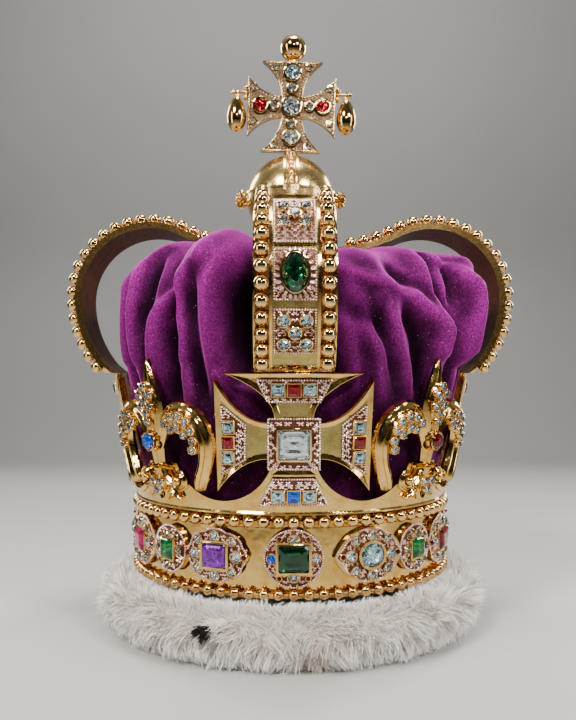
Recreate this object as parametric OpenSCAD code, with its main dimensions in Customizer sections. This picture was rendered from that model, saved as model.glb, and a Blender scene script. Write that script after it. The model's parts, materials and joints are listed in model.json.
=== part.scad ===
// Arched crown: a jewelled gold band with crosses, lily flowers and four half arches that carry an orb and a cross,
// over a folded velvet cap, on a thick white fur rim. Millimetres, +Z up, the front faces -Y, the table is z = 0.

/* [Band] */
// Inside radius of the band, where the head goes
head_r = 91; // [84:0.5:98]
// Thickness of the band's plain wall
band_wall = 2.5; // [1.5:0.1:3.5]
// Height of the lower bead row's centre line above the table
low_row_z = 36; // [36:0.5:42]
// Height from the lower bead row to the upper one
row_gap = 37.6; // [36:0.2:42]
// How far the bead centres stand out from the wall
bead_proud = 2.5; // [2:0.1:3]
// Diameter of an upper bead
upper_bead_d = 7; // [5:0.1:7.4]
// Diameter of a lower bead
lower_bead_d = 6; // [4:0.1:6.4]
// Clear space between neighbouring upper beads
upper_bead_gap = 0.9; // [0.5:0.1:2]
// Clear space between neighbouring lower beads
lower_bead_gap = 1.9; // [0.5:0.1:3]
// Diameter of the wire that the beads are strung on
bead_wire_d = 2; // [1.2:0.1:3]
// Height of the rim moulding above the upper beads
rim_h = 2; // [1:0.1:4]

/* [Gallery] */
// Outward lean of the gallery, the crosses and the lily flowers
lean = 10; // [6:0.5:12]
// Thickness of the gallery wall
gallery_wall = 2.4; // [1.6:0.1:3]
// Radius of the scallops cut between crosses and flowers
scallop_r = 30; // [27:0.5:31]
// Height of a scallop's lowest point above the band's rim
scallop_rise = 5; // [3:0.5:8]
// Height of the gallery's teeth above the band's rim
tooth_h = 23.7; // [20:0.1:26]
// Width of the rolled edge round a scallop
rolled_edge_w = 2.6; // [1.5:0.1:4]
// How far the rolled edge and the crosses' rims stand out
rim_proud = 1.1; // [0.6:0.1:1.6]

/* [Crosses] */
// Height of a cross's centre above the band's rim
cross_rise = 36.2; // [34:0.2:39]
// Height of the top arm above the centre
cross_up = 36.7; // [30:0.1:40]
// Half width of the top arm at its tips
cross_top_half = 37; // [30:0.1:38]
// Half width of the cross at the side arms' upper tips
cross_side_half = 41.3; // [39:0.1:42]
// Height of the side arms' upper tips above the centre
side_tip_up = 34; // [28:0.1:36]
// Depth of the side arms' lower tips below the centre
side_tip_down = 26.5; // [22:0.1:28]
// Half width of the arms where they leave the centre
cross_waist = 9.6; // [8:0.1:12]
// Half side of the square centre setting
centre_setting_half = 14; // [11:0.1:15]
// Width of the raised rim along the edges
cross_rim_w = 2; // [1:0.1:3]
// Side of the square centre stone
centre_stone = 16.4; // [12:0.1:18]
// Side of the small square stones
arm_stone = 6.8; // [5:0.1:7.2]
// Distance between neighbouring small square stones
arm_pitch = 8; // [7.6:0.1:9]

/* [Lily flowers] */
// Thickness of a flower's petals
petal_t = 3; // [2:0.1:4]
// Height of the middle petal's tip above the band's rim
petal_tip = 80; // [70:0.5:84]
// Half width of the middle petal
petal_half = 7.8; // [6:0.1:9]
// Height of the stone clusters' tall mounts
mount_h = 6.5; // [4:0.1:8]
// Diameter of a flower's centre stone
flower_stone_d = 9.4; // [7:0.1:10.5]
// Diameter of a flower's small stones
flower_small_d = 4.3; // [3:0.1:4.6]

/* [Arches] */
// Width of an arch
arch_w = 41; // [37:0.5:44]
// Thickness of an arch's plate
arch_t = 2.4; // [1.6:0.1:3]
// Largest radius of the arches' bead lines
arch_reach = 135.5; // [134:0.5:140]
// Height of that widest point above the band's rim
arch_wide_rise = 120.6; // [118:0.2:124]
// Radius of the lower stretch of an arch
arch_low_r = 70; // [66:0.5:74]
// Radius of the shoulder of an arch
arch_top_r = 48; // [46:0.5:50]
// Angle of the shoulder, from its widest point to the dip
arch_top_sweep = 117; // [114:0.5:119]
// Radius of the dip below the orb
arch_dip_r = 92; // [84:1:96]
// Diameter of an arch bead
arch_bead_d = 6.2; // [5:0.1:6.4]
// Clear space between neighbouring arch beads
arch_bead_gap = 2.1; // [1:0.1:3]
// Half distance between an arch's two bead lines
arch_bead_half = 16.3; // [15.5:0.1:16.6]
// Height of the rails beside the beads
rail_h = 1.5; // [1:0.1:2]
// Width of an outer rail
outer_rail_w = 1; // [0.7:0.1:1.2]
// Width of an inner rail
inner_rail_w = 1.3; // [0.8:0.1:1.6]
// Width of the jewelled panel between the inner rails
panel_w = 22.4; // [18:0.2:23]
// Length of the oval stone
oval_l = 19; // [15:0.2:21]
// Width of the oval stone
oval_w = 12.2; // [9:0.2:14]
// Diameter of the panels' round stones
panel_stone_d = 6.4; // [5:0.1:6.6]

/* [Orb and top cross] */
// Radius of the orb
orb_r = 28; // [25:0.5:29]
// Height of the orb's collar above the arches' crossing
orb_collar_h = 8; // [6:0.5:10]
// Radius of the orb's collar
orb_collar_r = 11; // [8:0.5:14]
// Height of the belt round the orb
belt_h = 6; // [4:0.2:8]
// Width of the strip over the orb
strip_w = 9.3; // [7:0.1:11]
// Height of the top cross
top_cross_h = 59; // [52:0.5:64]
// Width of the top cross across its side arms
top_cross_w = 57; // [52:0.5:62]
// Half width of each of its arms at the tips
top_tip_half = 19.6; // [16:0.1:21]
// Half width of its arms at the middle
top_waist = 7; // [5.5:0.1:8]
// Thickness of the top cross
top_cross_t = 5; // [4:0.1:7]
// Lean of the top cross to the right, as the photo has it
finial_tilt = 1.5; // [0:0.1:3]
// Diameter of the ball on top
ball_d = 17; // [13:0.5:19]
// Length of a pear drop
drop_l = 24; // [18:0.5:28]
// Diameter of a pear drop
drop_d = 12.6; // [9:0.2:13]

/* [Band jewels] */
// Radius of a round jewel setting on the band
setting_r = 14.6; // [12:0.1:14.8]
// Half width of a rosette with eight stones
rosette_half_w = 18; // [15:0.1:19]
// How far the rosettes stand nearer to the lily flowers than halfway, in degrees
jewel_shift = 3; // [0:0.1:4]
// Thickness of a jewel setting
setting_t = 3.4; // [1.5:0.1:4]
// Length of a main stone
main_stone_l = 16.4; // [12:0.1:17]
// Height of a main stone
main_stone_w = 14.6; // [11:0.1:15.4]
// Diameter of a small round stone
small_stone_d = 5; // [3.5:0.1:5.4]

/* [Cap and fur] */
// Thickness of the velvet
velvet_t = 2; // [1.2:0.1:2.5]
// Height of the cap's flat top above the band's rim
cap_rise = 143; // [138:0.5:144]
// Height of the fur where it stands up outside the beads
fur_h = 39; // [37:0.5:44]
// Thickness of the fur outside the bead row
fur_puff = 20; // [14:0.5:24]
// Depth of the fur's locks
lock_depth = 2.6; // [1:0.1:4]

/* [Hidden] */
$fn = 64;
// Clear gap left between pieces that seat on each other
fit = 0.2;
overlap = 0.1;
quarter_turns = [0, 90, 180, 270];
flower_turns = [45, 135, 225, 315];

band_r = head_r + band_wall;
row_r = band_r + bead_proud;
high_row_z = low_row_z + row_gap;
band_foot_z = low_row_z - lower_bead_d/2;
rim_z = high_row_z + upper_bead_d/2 + rim_h;
// The bead rows lie in shallow grooves round the wall
low_groove_r = min(band_r, row_r - lower_bead_d/2 - fit);
high_groove_r = min(band_r, row_r - upper_bead_d/2 - fit);
jewel_z = low_row_z + row_gap/2;

// The leaning wall that the gallery, crosses and flowers share
wall_r0 = row_r + 0.8;
function wall_r(z) = wall_r0 + (z - rim_z)*tan(lean);
tooth_z = rim_z + tooth_h;
scallop_z = rim_z + scallop_rise + scallop_r;
cross_z = rim_z + cross_rise;
cross_top_z = cross_z + cross_up;
arm_plaque_t = 1.5;
stone_seat = arm_plaque_t + 0.15;
step = 22.5;

// The arches' bead line is three arcs that meet smoothly
arch_wide_z = rim_z + arch_wide_rise;
low_c = [arch_reach - arch_low_r, arch_wide_z];
top_c = [arch_reach - arch_top_r, arch_wide_z];
foot_drop = arch_wide_z - cross_top_z - 1.6;
foot_angle = asin(foot_drop/arch_low_r);
dip_start = top_c + arch_top_r*[cos(arch_top_sweep), sin(arch_top_sweep)];
dip_c = dip_start + arch_dip_r*[cos(arch_top_sweep), sin(arch_top_sweep)];
crossing_z = dip_c[1] - arch_dip_r;
low_len = arch_low_r*foot_angle*PI/180;
top_len = arch_top_r*arch_top_sweep*PI/180;
plate_out = -arch_bead_d/2 - fit;
plate_in = plate_out - arch_t;
arch_end_r = arch_w/2 + fit;

orb_z = crossing_z + plate_out + orb_collar_h + orb_r - 0.6;
orb_top_z = orb_z + orb_r;
top_cross_z = orb_top_z + 2.6 + top_cross_h/2;
top_cross_foot = top_cross_z - top_cross_h/2;
ball_z = top_cross_z + top_cross_h/2 + ball_d/2 + 0.8;
drop_x = top_cross_w/2 + 1.6 + drop_d/2 - 0.9;
pin_z = top_cross_z + 9;
pin_r = 1.1;

gold = "#d9a93a";
enamel = "#e8cdb4";

// Each band jewel: kind of setting, stone shape and stone colour, clockwise from the front as seen from above
band_jewels = [
    ["disc", "step", "#0f6b45"], ["point", "oval", "#bfe3ee"], ["small", "step", "#1f7a3c"],
    ["rose", "step", "#c11f3a"], ["disc", "oval", "#2b5fc4"], ["point", "step", "#7a2fa0"],
    ["small", "step", "#1f7a3c"], ["rose", "oval", "#bfe3ee"], ["disc", "step", "#0f6b45"],
    ["point", "oval", "#c11f3a"], ["small", "step", "#1f7a3c"], ["rose", "step", "#2b5fc4"],
    ["disc", "oval", "#bfe3ee"], ["point", "step", "#c52a86"], ["small", "step", "#1f7a3c"],
    ["rose", "step", "#7a2fa0"]
];

// Each cap fold: azimuth, outward bulge, rise of the top, half width in degrees
cap_folds = [
    [-74, 9, 8, 10], [-53, 15, 14, 11], [-27, 9, 16, 10], [0, -7, -3, 9], [27, 9, 16, 10], [49, 14, 15, 9],
    [71, 27, 14, 10], [104, 15, 9, 10], [129, 15, 14, 12], [154, 9, 14, 10], [180, -6, -3, 9], [206, 10, 15, 10],
    [231, 14, 14, 11], [256, 9, 8, 10]
];

// The cap from its hem to the middle of its top: radius share of the head, height share of the rise,
// share of the outward bulge, share of the top's rise
cap_rings = [
    [1.000, -0.12, 0.00, 0.00], [1.000, 0.01, 0.00, 0.00], [1.022, 0.13, 0.10, 0.00], [1.050, 0.26, 0.30, 0.00],
    [1.070, 0.40, 0.50, 0.00], [1.085, 0.53, 0.72, 0.00], [1.090, 0.67, 0.95, 0.15], [1.070, 0.79, 1.00, 0.50],
    [1.000, 0.885, 0.90, 0.85], [0.860, 0.950, 0.66, 1.00], [0.660, 0.985, 0.36, 0.78], [0.440, 0.998, 0.12, 0.14],
    [0.200, 1.000, 0.00, 0.00]
];

// The fur's section: distance outside the head, share of the fur's height, share of the locks' depth
fur_ring = [
    [-1.0, -0.02, 0], [8, -0.02, 0], [17, -0.02, 0], [22.5, 0.10, 0.5], [26.5, 0.24, 1], [28.5, 0.42, 1],
    [28.0, 0.60, 1], [25.5, 0.77, 1], [21.0, 0.91, 1], [16.5, 1.00, 0.6], [12.6, 0.97, 0.2], [10.4, 0.85, 0],
    [4, 0.838, 0], [-1.0, 0.838, 0], [-1.6, 0.45, 0]
];

function side_name(k) = ["front", "right", "back", "left"][k];
function corner_name(k) = ["front_right", "back_right", "back_left", "front_left"][k];

// Shared shapes

// A ring turned round the axis between two radii and two heights, leaning outward
module leaning_shell(r_in, r_out, z0, z1) {
    rotate_extrude($fn = 96) polygon([
        [r_in + wall_r(z0) - wall_r0, z0], [r_out + wall_r(z0) - wall_r0, z0],
        [r_out + wall_r(z1) - wall_r0, z1], [r_in + wall_r(z1) - wall_r0, z1]
    ]);
}

// An outline drawn in the front view, pushed outward through the wall
module pushed_out(r_near, r_far) {
    translate([0, -r_near, 0]) rotate([90, 0, 0]) linear_extrude(r_far - r_near) children();
}

// A place on the leaning wall, with its local Z pointing outward
module on_wall(across, z, proud) {
    rotate([0, 0, asin(across/wall_r(z))]) translate([0, -wall_r(z) - proud*cos(lean), z - proud*sin(lean)])
        rotate([90 + lean, 0, 0]) children();
}

// A place on the band's upright wall
module on_band(turn, z, proud) {
    rotate([0, 0, turn]) translate([0, -band_r - proud, z]) rotate([90, 0, 0]) children();
}

// A bar with a stone's side profile: flat back, girdle, sloping crown and table
module stone_bar(width, reach, rise, depth, turn) {
    table = 0.56;
    back = 0.72;
    girdle = 0.12*rise;
    rotate([0, 0, turn]) rotate([90, 0, 0]) linear_extrude(2*reach, center = true) polygon([
        [-back*width/2, -depth], [back*width/2, -depth], [width/2, 0], [width/2, girdle],
        [table*width/2, rise], [-table*width/2, rise], [-width/2, girdle], [-width/2, 0]
    ]);
}

// A step cut stone with cut corners
module step_stone(l, w, rise, depth, corner = 0.8) {
    diagonal = corner*sqrt(l*l + w*w);
    intersection() {
        stone_bar(l, l, rise, depth, 0);
        stone_bar(w, l, rise, depth, 90);
        stone_bar(diagonal, l, rise, depth, 45);
        stone_bar(diagonal, l, rise, depth, 135);
    }
}

function oval_width(l, w, a) = 2*sqrt(pow(l/2*cos(a), 2) + pow(w/2*sin(a), 2));

// An oval or round stone, twelve sided, with its corners inside its length and width
module oval_stone(length, width, rise, depth) {
    l = 0.955*length;
    w = 0.955*width;
    intersection() {
        stone_bar(oval_width(l, w, 0), l, rise, depth, 0);
        stone_bar(oval_width(l, w, 30), l, rise, depth, 30);
        stone_bar(oval_width(l, w, 60), l, rise, depth, 60);
        stone_bar(oval_width(l, w, 90), l, rise, depth, 90);
        stone_bar(oval_width(l, w, 120), l, rise, depth, 120);
        stone_bar(oval_width(l, w, 150), l, rise, depth, 150);
    }
}

// A bar with the side profile of a flat-backed stone
module flat_bar(width, reach, rise, depth, turn) {
    rotate([0, 0, turn]) rotate([90, 0, 0]) linear_extrude(2*reach, center = true) polygon([
        [-width/2, -depth], [width/2, -depth], [width/2, 0], [0.28*width, rise], [-0.28*width, rise], [-width/2, 0]
    ]);
}

// A small round stone, eight sided with a flat back, with its corners inside its diameter
module round_stone(stone_d) {
    d = stone_d*cos(22.5);
    intersection() {
        flat_bar(d, d, 0.3*d, 0.1*d, 0);
        flat_bar(d, d, 0.3*d, 0.1*d, 45);
        flat_bar(d, d, 0.3*d, 0.1*d, 90);
        flat_bar(d, d, 0.3*d, 0.1*d, 135);
    }
}

// A small square stone with cut corners and a flat back
module square_stone(l) {
    intersection() {
        flat_bar(l, l, 0.26*l, 0.1*l, 0);
        flat_bar(l, l, 0.26*l, 0.1*l, 90);
        flat_bar(1.2*l, l, 0.26*l, 0.1*l, 45);
        flat_bar(1.2*l, l, 0.26*l, 0.1*l, 135);
    }
}

// A hollow box or tube that holds a stone by its edge
module square_collet(l, w, h, wall) {
    linear_extrude(h) difference() {
        square([l + 2*wall, w + 2*wall], center = true);
        square([l, w], center = true);
    }
}

module oval_collet(l, w, h, wall) {
    linear_extrude(h) difference() {
        oval_outline(l + 2*wall, w + 2*wall);
        oval_outline(l, w);
    }
}

module oval_outline(l, w) {
    polygon([for (k = [0:31]) [l/2*cos(k*360/32), w/2*sin(k*360/32)]]);
}

// Beads on a wire, one short wire length between each two neighbours
module bead_ring(z, bead_d, gap) {
    count = floor(2*PI*row_r/(bead_d + gap));
    turn = 360/count;
    chord = 2*row_r*sin(turn/2);
    for (k = [0 : count - 1]) rotate([0, 0, k*turn]) translate([0, -row_r, z]) rotate([0, 0, 90])
        sphere(d = bead_d, $fn = 32);
    for (k = [0 : count - 1]) rotate([0, 0, (k + 0.5)*turn]) translate([0, -row_r*cos(turn/2), z])
        bead_wire(chord, bead_d);
}

// The six-sided wire between two beads that lie a chord apart, along X, with its ends inside the beads
module bead_wire(chord, bead_d) {
    rotate([0, 90, 0]) cylinder(d = bead_wire_d, h = chord - 0.8*bead_d, center = true, $fn = 6);
}

// The band with its rims, scalloped gallery and jewel settings

module setting_outline(kind) {
    if (kind == "disc") circle(setting_r);
    if (kind == "small") circle(setting_r*0.84);
    if (kind == "rose") for (k = [0:7])
        translate([(rosette_half_w - lobe_r)*cos(k*45), (setting_r - lobe_r)*sin(k*45)]) circle(lobe_r, $fn = 32);
    if (kind == "rose") oval_outline(1.65*rosette_half_w, 1.65*setting_r);
    if (kind == "point") intersection() {
        translate([0, -setting_r*0.55]) circle(setting_r*1.55);
        translate([0, setting_r*0.55]) circle(setting_r*1.55);
    }
}

lobe_r = 0.29*setting_r;
module band_setting(k) {
    jewel = band_jewels[k];
    stone_l = jewel_length(k);
    stone_w = jewel_width(k);
    intersection() {
        rotate([0, 0, jewel_turn(k)]) pushed_out(band_r - 5, band_r + 10)
            translate([0, jewel_z]) setting_outline(jewel[0]);
        difference() {
            cylinder(r = band_r + setting_t, h = rim_z, $fn = 96);
            translate([0, 0, -1]) cylinder(r = band_r - overlap, h = rim_z + 2, $fn = 96);
        }
    }
    on_band(jewel_turn(k), jewel_z, setting_t - 0.6) {
        if (jewel[1] == "step") square_collet(stone_l + 2*fit, stone_w + 2*fit, 2.2, 1);
        if (jewel[1] == "oval") oval_collet(stone_l + 2*fit, stone_w + 2*fit, 2.2, 1);
    }
}

function jewel_turn(k) = k*step + jewel_shift*[0, 1, 0, -1][k % 4];
function jewel_scale(k) = k % 2 == 1 ? 0.9 : (k % 4 == 0 ? 1 : 0.78);
function jewel_length(k) = (k % 4 == 2 ? 0.62 : jewel_scale(k))*main_stone_l;
function jewel_width(k) = jewel_scale(k)*main_stone_w;

module gallery() {
    difference() {
        leaning_shell(wall_r0 - gallery_wall, wall_r0, rim_z - overlap, tooth_z);
        for (k = [0:7]) rotate([0, 0, step + 2*step*k]) scallop_cutter(scallop_r);
    }
    intersection() {
        leaning_shell(wall_r0 - gallery_wall, wall_r0 + rim_proud, rim_z - overlap, tooth_z);
        union() for (k = [0:7]) rotate([0, 0, step + 2*step*k]) difference() {
            scallop_cutter(scallop_r + rolled_edge_w);
            scallop_cutter(scallop_r);
        }
    }
}

module scallop_cutter(r) {
    translate([0, -wall_r0 + 40, scallop_z]) rotate([90, 0, 0]) cylinder(r = r, h = 80);
}

module foot_plaque() {
    intersection() {
        pushed_out(wall_r0 - 20, wall_r0 + 30) polygon([
            [-foot_plaque_half, rim_z + 3], [foot_plaque_half, rim_z + 3],
            [foot_plaque_top, rim_z + foot_plaque_h + 3], [-foot_plaque_top, rim_z + foot_plaque_h + 3]
        ]);
        leaning_shell(wall_r0 - overlap, wall_r0 + arm_plaque_t, rim_z, tooth_z);
    }
}
foot_plaque_half = 2.35*arm_pitch;
foot_plaque_top = 1.25*arm_pitch;
foot_plaque_h = 13.5;
foot_stone_z = rim_z + 3 + foot_plaque_h*0.42;

module circlet() {
    color(gold) {
        rotate_extrude($fn = 96) polygon([
            [head_r, band_foot_z], [low_groove_r, band_foot_z], [low_groove_r, low_row_z + lower_bead_d/2 + fit],
            [band_r, low_row_z + lower_bead_d/2 + fit], [band_r, high_row_z - upper_bead_d/2 - fit],
            [high_groove_r, high_row_z - upper_bead_d/2 - fit], [high_groove_r, rim_z - rim_h + fit],
            [row_r + 1.4, rim_z - rim_h + fit], [row_r + 1.4, rim_z - rim_h/2], [wall_r0, rim_z], [head_r, rim_z]
        ]);
        gallery();
        for (k = [0:15]) band_setting(k);
        for (a = quarter_turns) rotate([0, 0, a]) foot_plaque();
    }
}

module upper_beads() {
    color(gold) bead_ring(high_row_z, upper_bead_d, upper_bead_gap);
}

module lower_beads() {
    color(gold) bead_ring(low_row_z, lower_bead_d, lower_bead_gap);
}

// The four crosses of the band

// A curve that leaves a waist along its arm and flares out to a tip
flare = 40;
function flare_curve(from, to, n = 7) = [for (k = [0:n]) let (t = k/n*flare) [
    from[0] + (to[0] - from[0])*(1 - cos(t))/(1 - cos(flare)),
    from[1] + (to[1] - from[1])*sin(t)/sin(flare)
]];
function swapped(points) = [for (p = points) [p[1], p[0]]];
function backwards(points) = [for (k = [len(points) - 1 : -1 : 0]) points[k]];
function mirrored(points) = [for (p = points) [-p[0], p[1]]];

function cross_half() = concat(
    [[cross_waist, tooth_z + fit]],
    [[cross_waist, cross_z - cross_waist]],
    swapped(flare_curve([cross_z - cross_waist + 1.5, centre_setting_half],
        [cross_z - side_tip_down, cross_side_half - 1.6])),
    backwards(swapped(flare_curve([cross_z + cross_waist + 1.5, centre_setting_half],
        [cross_z + side_tip_up, cross_side_half]))),
    flare_curve([cross_waist + 0.6, cross_z + centre_setting_half - 0.8], [cross_top_half, cross_top_z])
);

module cross_outline() {
    polygon(concat(cross_half(), mirrored(backwards(cross_half()))));
}

module cross_plaques() {
    translate([0, cross_z]) square(2*centre_setting_half, center = true);
    polygon([[-10, cross_top_z - 16], [10, cross_top_z - 16], [17.5, cross_top_z - 3], [-17.5, cross_top_z - 3]]);
    for (s = [-1, 1]) polygon([
        [s*(cross_side_half - 17.5), cross_z - 8], [s*(cross_side_half - 3.4), cross_z - 16],
        [s*(cross_side_half - 3), cross_z + 18.5], [s*(cross_side_half - 17.5), cross_z + 9.5]
    ]);
}

module cross_plate() {
    color(gold) {
        intersection() {
            pushed_out(wall_r0 - 30, wall_r0 + 40) cross_outline();
            leaning_shell(wall_r0 - gallery_wall, wall_r0, tooth_z, cross_top_z);
        }
        intersection() {
            pushed_out(wall_r0 - 30, wall_r0 + 40) difference() {
                cross_outline();
                offset(delta = -cross_rim_w) cross_outline();
            }
            leaning_shell(wall_r0 - gallery_wall, wall_r0 + rim_proud, tooth_z, cross_top_z);
        }
        intersection() {
            pushed_out(wall_r0 - 30, wall_r0 + 40) intersection() {
                cross_plaques();
                cross_outline_filled();
            }
            leaning_shell(wall_r0 - gallery_wall, wall_r0 + arm_plaque_t, tooth_z, cross_top_z);
        }
        on_wall(0, cross_z, arm_plaque_t - 0.5)
            square_collet(centre_stone + 2*fit, centre_stone + 2*fit, 3, 1);
    }
}

// The centre setting is wider than the arms' waist, so it adds to the outline
module cross_outline_filled() {
    cross_outline();
    translate([0, cross_z + fit]) square([2*centre_setting_half, 2*centre_setting_half - 2*fit], center = true);
}

// The lily flowers between the crosses

// The side petal's middle line: across, height above the rim, width
hook_line = [
    [2.5, 34, 5], [9, 47, 7.5], [20, 53.5, 9.5], [30.5, 47, 9.5], [33.6, 35, 8], [30.5, 23, 7], [27.6, 12.5, 3]
];

function spline(a, b, c, d, t) = 0.5*(2*b + (c - a)*t + (2*a - 5*b + 4*c - d)*t*t + (3*b - a - 3*c + d)*t*t*t);
function spline_row(rows, s) = let (
    last = len(rows) - 1, k = min(floor(s), last - 1), t = s - k
) spline(rows[max(k - 1, 0)], rows[k], rows[k + 1], rows[min(k + 2, last)], t);
function hook_at(s) = spline_row(hook_line, s);
function hook_edge(s, side) = let (
    p = hook_at(s), a = hook_at(max(s - 0.05, 0)), b = hook_at(min(s + 0.05, len(hook_line) - 1)),
    along = [b[0] - a[0], b[1] - a[1]]/norm([b[0] - a[0], b[1] - a[1]])
) [p[0] - side*along[1]*p[2]/2, rim_z + p[1] + side*along[0]*p[2]/2];

module hook_petal() {
    steps = 3*(len(hook_line) - 1);
    polygon(concat(
        [for (k = [0:steps]) hook_edge(k/3, 1)],
        [for (k = [steps:-1:0]) hook_edge(k/3, -1)]
    ));
}

module lily_outline() {
    petal_l = petal_tip - 32;
    arc_r = (pow(petal_l/2, 2) + pow(petal_half, 2))/(2*petal_half);
    translate([0, rim_z + 32 + petal_l/2]) intersection() {
        translate([arc_r - petal_half, 0]) circle(arc_r, $fn = 96);
        translate([petal_half - arc_r, 0]) circle(arc_r, $fn = 96);
    }
    for (s = [0, 1]) mirror([s, 0]) {
        hook_petal();
        translate([11.5, rim_z + 13]) circle(4.6, $fn = 32);
    }
    polygon([[-3, rim_z + 3], [3, rim_z + 3], [6.5, rim_z + 20], [5.5, rim_z + 40], [-5.5, rim_z + 40],
        [-6.5, rim_z + 20]]);
    translate([-12, rim_z + 9.5]) square([24, 5]);
    translate([0, rim_z + 20]) square([20, 6], center = true);
}

lily_stones = [[0, 66.5], [-3.6, 61.6], [3.6, 61.6], [0, 56.6], [0, 51.6], [-22, 45], [22, 45], [-25.5, 36], [25.5, 36]];
lily_stone_rise = 37;

module lily() {
    color(gold) {
        intersection() {
            pushed_out(wall_r0 - 30, wall_r0 + 40) lily_outline();
            leaning_shell(wall_r0 + rim_proud + fit, wall_r0 + rim_proud + petal_t, rim_z, rim_z + petal_tip + 1);
        }
        on_wall(0, rim_z + lily_stone_rise, rim_proud + 1)
            oval_collet_post(flower_stone_d, mount_h);
        on_wall(0, rim_z + 59, rim_proud + 1)
            linear_extrude(mount_h - 1) oval_outline(13, 20.5);
        for (s = [-1, 1]) on_wall(s*23.8, rim_z + 40.5, rim_proud + 1)
            rotate([0, 0, s*20]) linear_extrude(mount_h - 1) oval_outline(8, 16);
    }
}

// A solid post that ends in a cup for a round stone
module oval_collet_post(d, h) {
    difference() {
        cylinder(d = d + 2.4, h = h + 1.6);
        translate([0, 0, h]) cylinder(d = d + 2*fit, h = 4);
    }
}

// The arches

function arch_angle(s) = s < low_len ? s/arch_low_r*180/PI - foot_angle
    : s < low_len + top_len ? (s - low_len)/arch_top_r*180/PI
    : arch_top_sweep - (s - low_len - top_len)/arch_dip_r*180/PI;
function arch_point(s, off) = let (a = arch_angle(s), n = [cos(a), sin(a)])
    s < low_len ? low_c + (arch_low_r + off)*n
    : s < low_len + top_len ? top_c + (arch_top_r + off)*n
    : dip_c - (arch_dip_r - off)*n;
past_dip = asin(max(0, dip_c[0] - arch_end_r - arch_bead_d/2)/arch_dip_r);
arch_len = low_len + top_len + arch_dip_r*(arch_top_sweep - 90 + past_dip)*PI/180;

// A place on the arch at a distance along its bead line, with its local Z pointing outward
module on_arch(s, across, off) {
    p = arch_point(s, off);
    translate([across, -p[0], p[1]]) rotate([90 - arch_angle(s), 0, 0]) children();
}

module wedge(centre, a0, a1) {
    reach = 260;
    polygon(concat([centre], [for (k = [0:6]) let (a = a0 + (a1 - a0)*k/6) centre + reach*[cos(a), sin(a)]]));
}

// The arch's side view between two distances from the bead line
module arch_band(off_in, off_out) {
    intersection() {
        translate(low_c) difference() {
            circle(arch_low_r + off_out, $fn = 128);
            circle(arch_low_r + off_in, $fn = 128);
        }
        wedge(low_c, -foot_angle, 0);
    }
    intersection() {
        translate(top_c) difference() {
            circle(arch_top_r + off_out, $fn = 128);
            circle(arch_top_r + off_in, $fn = 128);
        }
        wedge(top_c, 0, arch_top_sweep);
    }
    intersection() {
        translate(dip_c) difference() {
            circle(arch_dip_r - off_in, $fn = 128);
            circle(arch_dip_r - off_out, $fn = 128);
        }
        wedge(dip_c, arch_top_sweep + 180, 245);
        translate([arch_end_r, 0]) square([200, 400]);
    }
}

module arch_slab(width, across = 0) {
    translate([across, 0, 0]) rotate([0, 0, -90]) rotate([90, 0, 0]) linear_extrude(width, center = true) children();
}

// Each panel plaque runs between two angles of the shoulder or the lower stretch
plaque_top = [17.5, 66];
plaque_low = [-34.5, -14.5];

module arch_plaque_middle() {
    arch_slab(panel_w - 1.6) intersection() {
        arch_band(plate_out - 0.4, plate_out + arm_plaque_t);
        translate([arch_reach - 60, arch_wide_z - 14]) square([100, 26]);
    }
}

function along_arch(angle) = angle < 0 ? low_len + angle*arch_low_r*PI/180 : low_len + angle*arch_top_r*PI/180;

module arch() {
    color(gold) {
        arch_slab(arch_w) arch_band(plate_in, plate_out);
        for (s = [-1, 1]) {
            arch_slab(outer_rail_w, s*(arch_w/2 - outer_rail_w/2)) arch_band(plate_out - 0.4, plate_out + rail_h);
            arch_slab(inner_rail_w, s*(panel_w/2 + inner_rail_w/2)) arch_band(plate_out - 0.4, plate_out + rail_h);
        }
        arch_foot();
        arch_plaque_middle();
        arch_slab(panel_w - 1.6) intersection() {
            arch_band(plate_out - 0.4, plate_out + arm_plaque_t);
            wedge(top_c, plaque_top[0], plaque_top[1]);
        }
        arch_slab(panel_w - 1.6) intersection() {
            arch_band(plate_out - 0.4, plate_out + arm_plaque_t);
            wedge(low_c, plaque_low[0], plaque_low[1]);
        }
        on_arch(low_len, 0, plate_out + arm_plaque_t - 1.4) oval_collet(oval_w + 2*fit, oval_l + 2*fit, 3.2, 1);
    }
}

module arch_foot() {
    p = arch_point(0, plate_in);
    q = arch_point(0, plate_out);
    seat_r = wall_r(cross_top_z);
    arch_slab(arch_w) polygon([
        [seat_r - gallery_wall, cross_top_z + fit], [seat_r + rim_proud, cross_top_z + fit], q + [0.2, 0.2],
        p + [0.2, 0.3]
    ]);
}

// The two bead strings of an arch
module arch_beads() {
    pitch = arch_bead_d + arch_bead_gap;
    count = floor((arch_len - arch_bead_d)/pitch);
    start = arch_bead_d/2 + 0.5;
    color(gold) for (s = [-1, 1]) {
        for (k = [0 : count - 1]) on_arch(start + k*pitch, s*arch_bead_half, 0) sphere(d = arch_bead_d, $fn = 32);
        for (k = [0 : count - 2]) {
            p = arch_point(start + k*pitch, 0);
            q = arch_point(start + (k + 1)*pitch, 0);
            along = q - p;
            translate([s*arch_bead_half, -(p[0] + q[0])/2, (p[1] + q[1])/2])
                rotate([atan2(along[1], -along[0]), 0, 0]) rotate([0, 0, 90]) bead_wire(norm(along), arch_bead_d);
        }
    }
}

// The orb on the arches' crossing

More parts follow.
